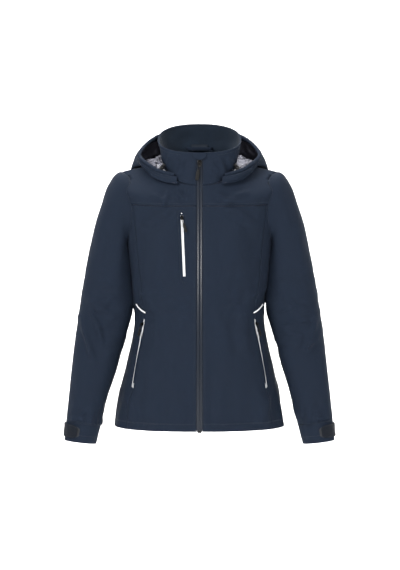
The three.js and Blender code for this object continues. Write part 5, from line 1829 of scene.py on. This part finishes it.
def build_stage(settings):
    """A pale sweep of floor and wall, soft lamps, and a camera in front of the jacket."""
    scene = bpy.context.scene
    floor, reach, turn = -settings.floor_drop, 2.6, 0.9
    profile = [(-3.0, floor)]
    for a in np.linspace(0, PI / 2, 14):
        profile.append((reach - turn + turn * math.sin(a), floor + turn - turn * math.cos(a)))
    profile.append((reach, floor + 4.5))
    points = [(x, y, z) for x in (-4.5, 4.5) for y, z in profile]
    n = len(profile)
    mesh = bpy.data.meshes.new("sweep")
    mesh.from_pydata(points, [], [(i, n + i, n + i + 1, i + 1) for i in range(n - 1)])
    mesh.polygons.foreach_set("use_smooth", [True] * (n - 1))
    paint = bpy.data.materials.new("pale floor")
    paint.use_nodes = True
    shader = paint.node_tree.nodes["Principled BSDF"]
    shader.inputs["Base Color"].default_value = (*settings.floor_color[:3], 1)
    shader.inputs["Roughness"].default_value = 0.95
    shader.inputs["Specular IOR Level"].default_value = 0.0
    mesh.materials.append(paint)
    sweep = bpy.data.objects.new("sweep", mesh)
    scene.collection.objects.link(sweep)

    scene.view_settings.view_transform = "Standard"
    world = bpy.data.worlds.new("studio")
    scene.world = world
    world.use_nodes = True
    nodes, links = world.node_tree.nodes, world.node_tree.links
    nodes["Background"].inputs["Color"].default_value = (1, 1, 1, 1)
    sight = nodes.new("ShaderNodeLightPath")
    level = nodes.new("ShaderNodeMapRange")
    level.inputs["To Min"].default_value = settings.room_light
    links.new(sight.outputs["Is Camera Ray"], level.inputs["Value"])
    links.new(level.outputs["Result"], nodes["Background"].inputs["Strength"])

    middle = Vector((0, 0, -0.3))
    for name, place, size, power in (
        ("key", (-1.9, -1.9, 1.9), (0.9, 0.9), settings.key_light),
        ("fill", (2.0, -2.0, 0.3), (1.4, 1.8), settings.key_light * 0.32),
        ("top", (0, 0.3, 2.2), (2.2, 1.6), settings.key_light * 0.4),
        ("strip", (0.06, -3.3, 0.14), (0.16, 0.3), settings.key_light * 0.3),
        ("wall", (0, 0.9, 1.7), (3.2, 0.8), settings.key_light * 1.9),
    ):
        lamp = bpy.data.lights.new(name, "AREA")
        lamp.shape, lamp.size, lamp.size_y, lamp.energy = "RECTANGLE", *size, power
        obj = bpy.data.objects.new(name, lamp)
        obj.location = place
        aim = Vector((0, 2.6, -0.3)) if name == "wall" else middle
        obj.rotation_euler = (aim - Vector(place)).to_track_quat("-Z", "Y").to_euler()
        scene.collection.objects.link(obj)

    lens = bpy.data.cameras.new("camera")
    lens.type = "ORTHO"
    lens.ortho_scale = settings.frame_height
    camera = bpy.data.objects.new("camera", lens)
    lift = settings.camera_elevation
    back = Vector((0, -math.cos(lift), math.sin(lift)))
    camera.location = Vector((settings.frame_centre[0], 0, settings.frame_centre[1])) + back * 3
    camera.rotation_euler = (-back).to_track_quat("-Z", "Y").to_euler()
    lens.clip_end = 20
    scene.collection.objects.link(camera)
    scene.camera = camera


# ------------------------------------------------------------------ add-on


def color_prop(name, description, default):
    return bpy.props.FloatVectorProperty(
        name=name, description=description, default=default, size=3, subtype="COLOR", min=0, max=1
    )


class JacketCloth(bpy.types.PropertyGroup):
    shell_color: color_prop("Shell", "Dye of the outer cloth", linear((26, 35, 49)))
    inside_color: color_prop("Collar lining", "Dye of the brushed lining", linear((24, 34, 46)))
    lining_color: color_prop("Lining", "Coated lining of the hood and body", linear((74, 74, 84)))
    fold_height: bpy.props.FloatProperty(
        name="Fold height", description="How deep the cloth's folds are", default=1.35, min=0, max=1.4
    )


class JacketTrims(bpy.types.PropertyGroup):
    tape_color: color_prop("Zip tape", "Film on the main zip's tapes", linear((20, 28, 40)))
    reflective_color: color_prop("Reflective trim", "Pocket tapes and waist piping", linear((246, 247, 249)))


class JacketStage(bpy.types.PropertyGroup):
    floor_drop: bpy.props.FloatProperty(
        name="Floor", description="Floor below the neck", default=0.96, unit="LENGTH", min=0.75
    )
    floor_color: color_prop("Floor colour", "Paint of the floor and wall", (0.93, 0.93, 0.93))
    room_light: bpy.props.FloatProperty(
        name="Room light", description="Strength of the even light", default=0.3, min=0
    )
    key_light: bpy.props.FloatProperty(
        name="Key light", description="Power of the key lamp", default=82, unit="POWER", min=0
    )
    frame_height: bpy.props.FloatProperty(
        name="Frame height", description="Height that the camera sees", default=1.402, unit="LENGTH"
    )
    frame_centre: bpy.props.FloatVectorProperty(
        name="Frame centre", description="Across and up", default=(0.0012, -0.305), size=2, unit="LENGTH"
    )
    camera_elevation: bpy.props.FloatProperty(
        name="Camera elevation", description="Angle above the horizon", default=math.radians(5),
        subtype="ANGLE", unit="ROTATION",
    )


class JACKET_OT_finishes(bpy.types.Operator):
    """Make the cloth, film, metal and thread finishes"""

    bl_idname = "jacket.finishes"
    bl_label = "Finishes"

    def execute(self, context):
        make_finishes(context.scene.jacket_cloth, context.scene.jacket_trims)
        return {"FINISHED"}


class JACKET_OT_body_panels(bpy.types.Operator):
    """Sew the front, side, back and yoke panels"""

    bl_idname = "jacket.body_panels"
    bl_label = "Body panels"

    def execute(self, context):
        build_body_panels()
        return {"FINISHED"}


class JACKET_OT_sleeves(bpy.types.Operator):
    """Hang the sleeves, cuffs and tabs"""

    bl_idname = "jacket.sleeves"
    bl_label = "Sleeves"

    def execute(self, context):
        build_sleeves()
        return {"FINISHED"}


class JACKET_OT_collar(bpy.types.Operator):
    """Stand the collar with its lining, garage, loop and label"""

    bl_idname = "jacket.collar"
    bl_label = "Collar"

    def execute(self, context):
        build_collar()
        return {"FINISHED"}


class JACKET_OT_hood(bpy.types.Operator):
    """Lay the hood back with its lining, rim and cord locks"""

    bl_idname = "jacket.hood"
    bl_label = "Hood"

    def execute(self, context):
        build_hood()
        return {"FINISHED"}


class JACKET_OT_body_inside(bpy.types.Operator):
    """Hang the lining, facing, pocket bags and storm flap"""

    bl_idname = "jacket.body_inside"
    bl_label = "Inside"

    def execute(self, context):
        build_body_inside()
        return {"FINISHED"}


class JACKET_OT_main_zip(bpy.types.Operator):
    """Set the main zip with its slider and pull"""

    bl_idname = "jacket.main_zip"
    bl_label = "Main zip"

    def execute(self, context):
        build_main_zip()
        return {"FINISHED"}


class JACKET_OT_pocket_zips(bpy.types.Operator):
    """Set the chest and hand pocket zips"""

    bl_idname = "jacket.pocket_zips"
    bl_label = "Pocket zips"

    def execute(self, context):
        build_pocket_zips()
        return {"FINISHED"}


class JACKET_OT_trims(bpy.types.Operator):
    """Set the reflective piping into the waist"""

    bl_idname = "jacket.trims"
    bl_label = "Trims"

    def execute(self, context):
        build_trims()
        return {"FINISHED"}


class JACKET_OT_stage(bpy.types.Operator):
    """Set the floor, the lamps and the camera"""

    bl_idname = "jacket.stage"
    bl_label = "Stage"

    def execute(self, context):
        build_stage(context.scene.jacket_stage)
        return {"FINISHED"}


# In the order that they run.
OPERATORS = (
    JACKET_OT_stage,
    JACKET_OT_finishes,
    JACKET_OT_body_panels,
    JACKET_OT_sleeves,
    JACKET_OT_collar,
    JACKET_OT_hood,
    JACKET_OT_body_inside,
    JACKET_OT_main_zip,
    JACKET_OT_pocket_zips,
    JACKET_OT_trims,
)


class JACKET_PT_panel(bpy.types.Panel):
    """The jacket's steps and settings"""

    bl_label = "Foul weather jacket"
    bl_space_type = "VIEW_3D"
    bl_region_type = "UI"
    bl_category = "Jacket"

    def draw(self, context):
        for operator in OPERATORS:
            self.layout.operator(operator.bl_idname)


GROUPS = {"jacket_cloth": JacketCloth, "jacket_trims": JacketTrims, "jacket_stage": JacketStage}


def register():
    for kind in (*GROUPS.values(), *OPERATORS, JACKET_PT_panel):
        bpy.utils.register_class(kind)
    for name, kind in GROUPS.items():
        setattr(bpy.types.Scene, name, bpy.props.PointerProperty(type=kind))


def unregister():
    for name in GROUPS:
        delattr(bpy.types.Scene, name)
    for kind in (JACKET_PT_panel, *OPERATORS, *GROUPS.values()):
        bpy.utils.unregister_class(kind)


def main():
    register()
    for operator in OPERATORS:
        getattr(bpy.ops.jacket, operator.bl_idname.removeprefix("jacket."))()
    bpy.context.view_layer.update()


if __name__ == "__main__":
    main()
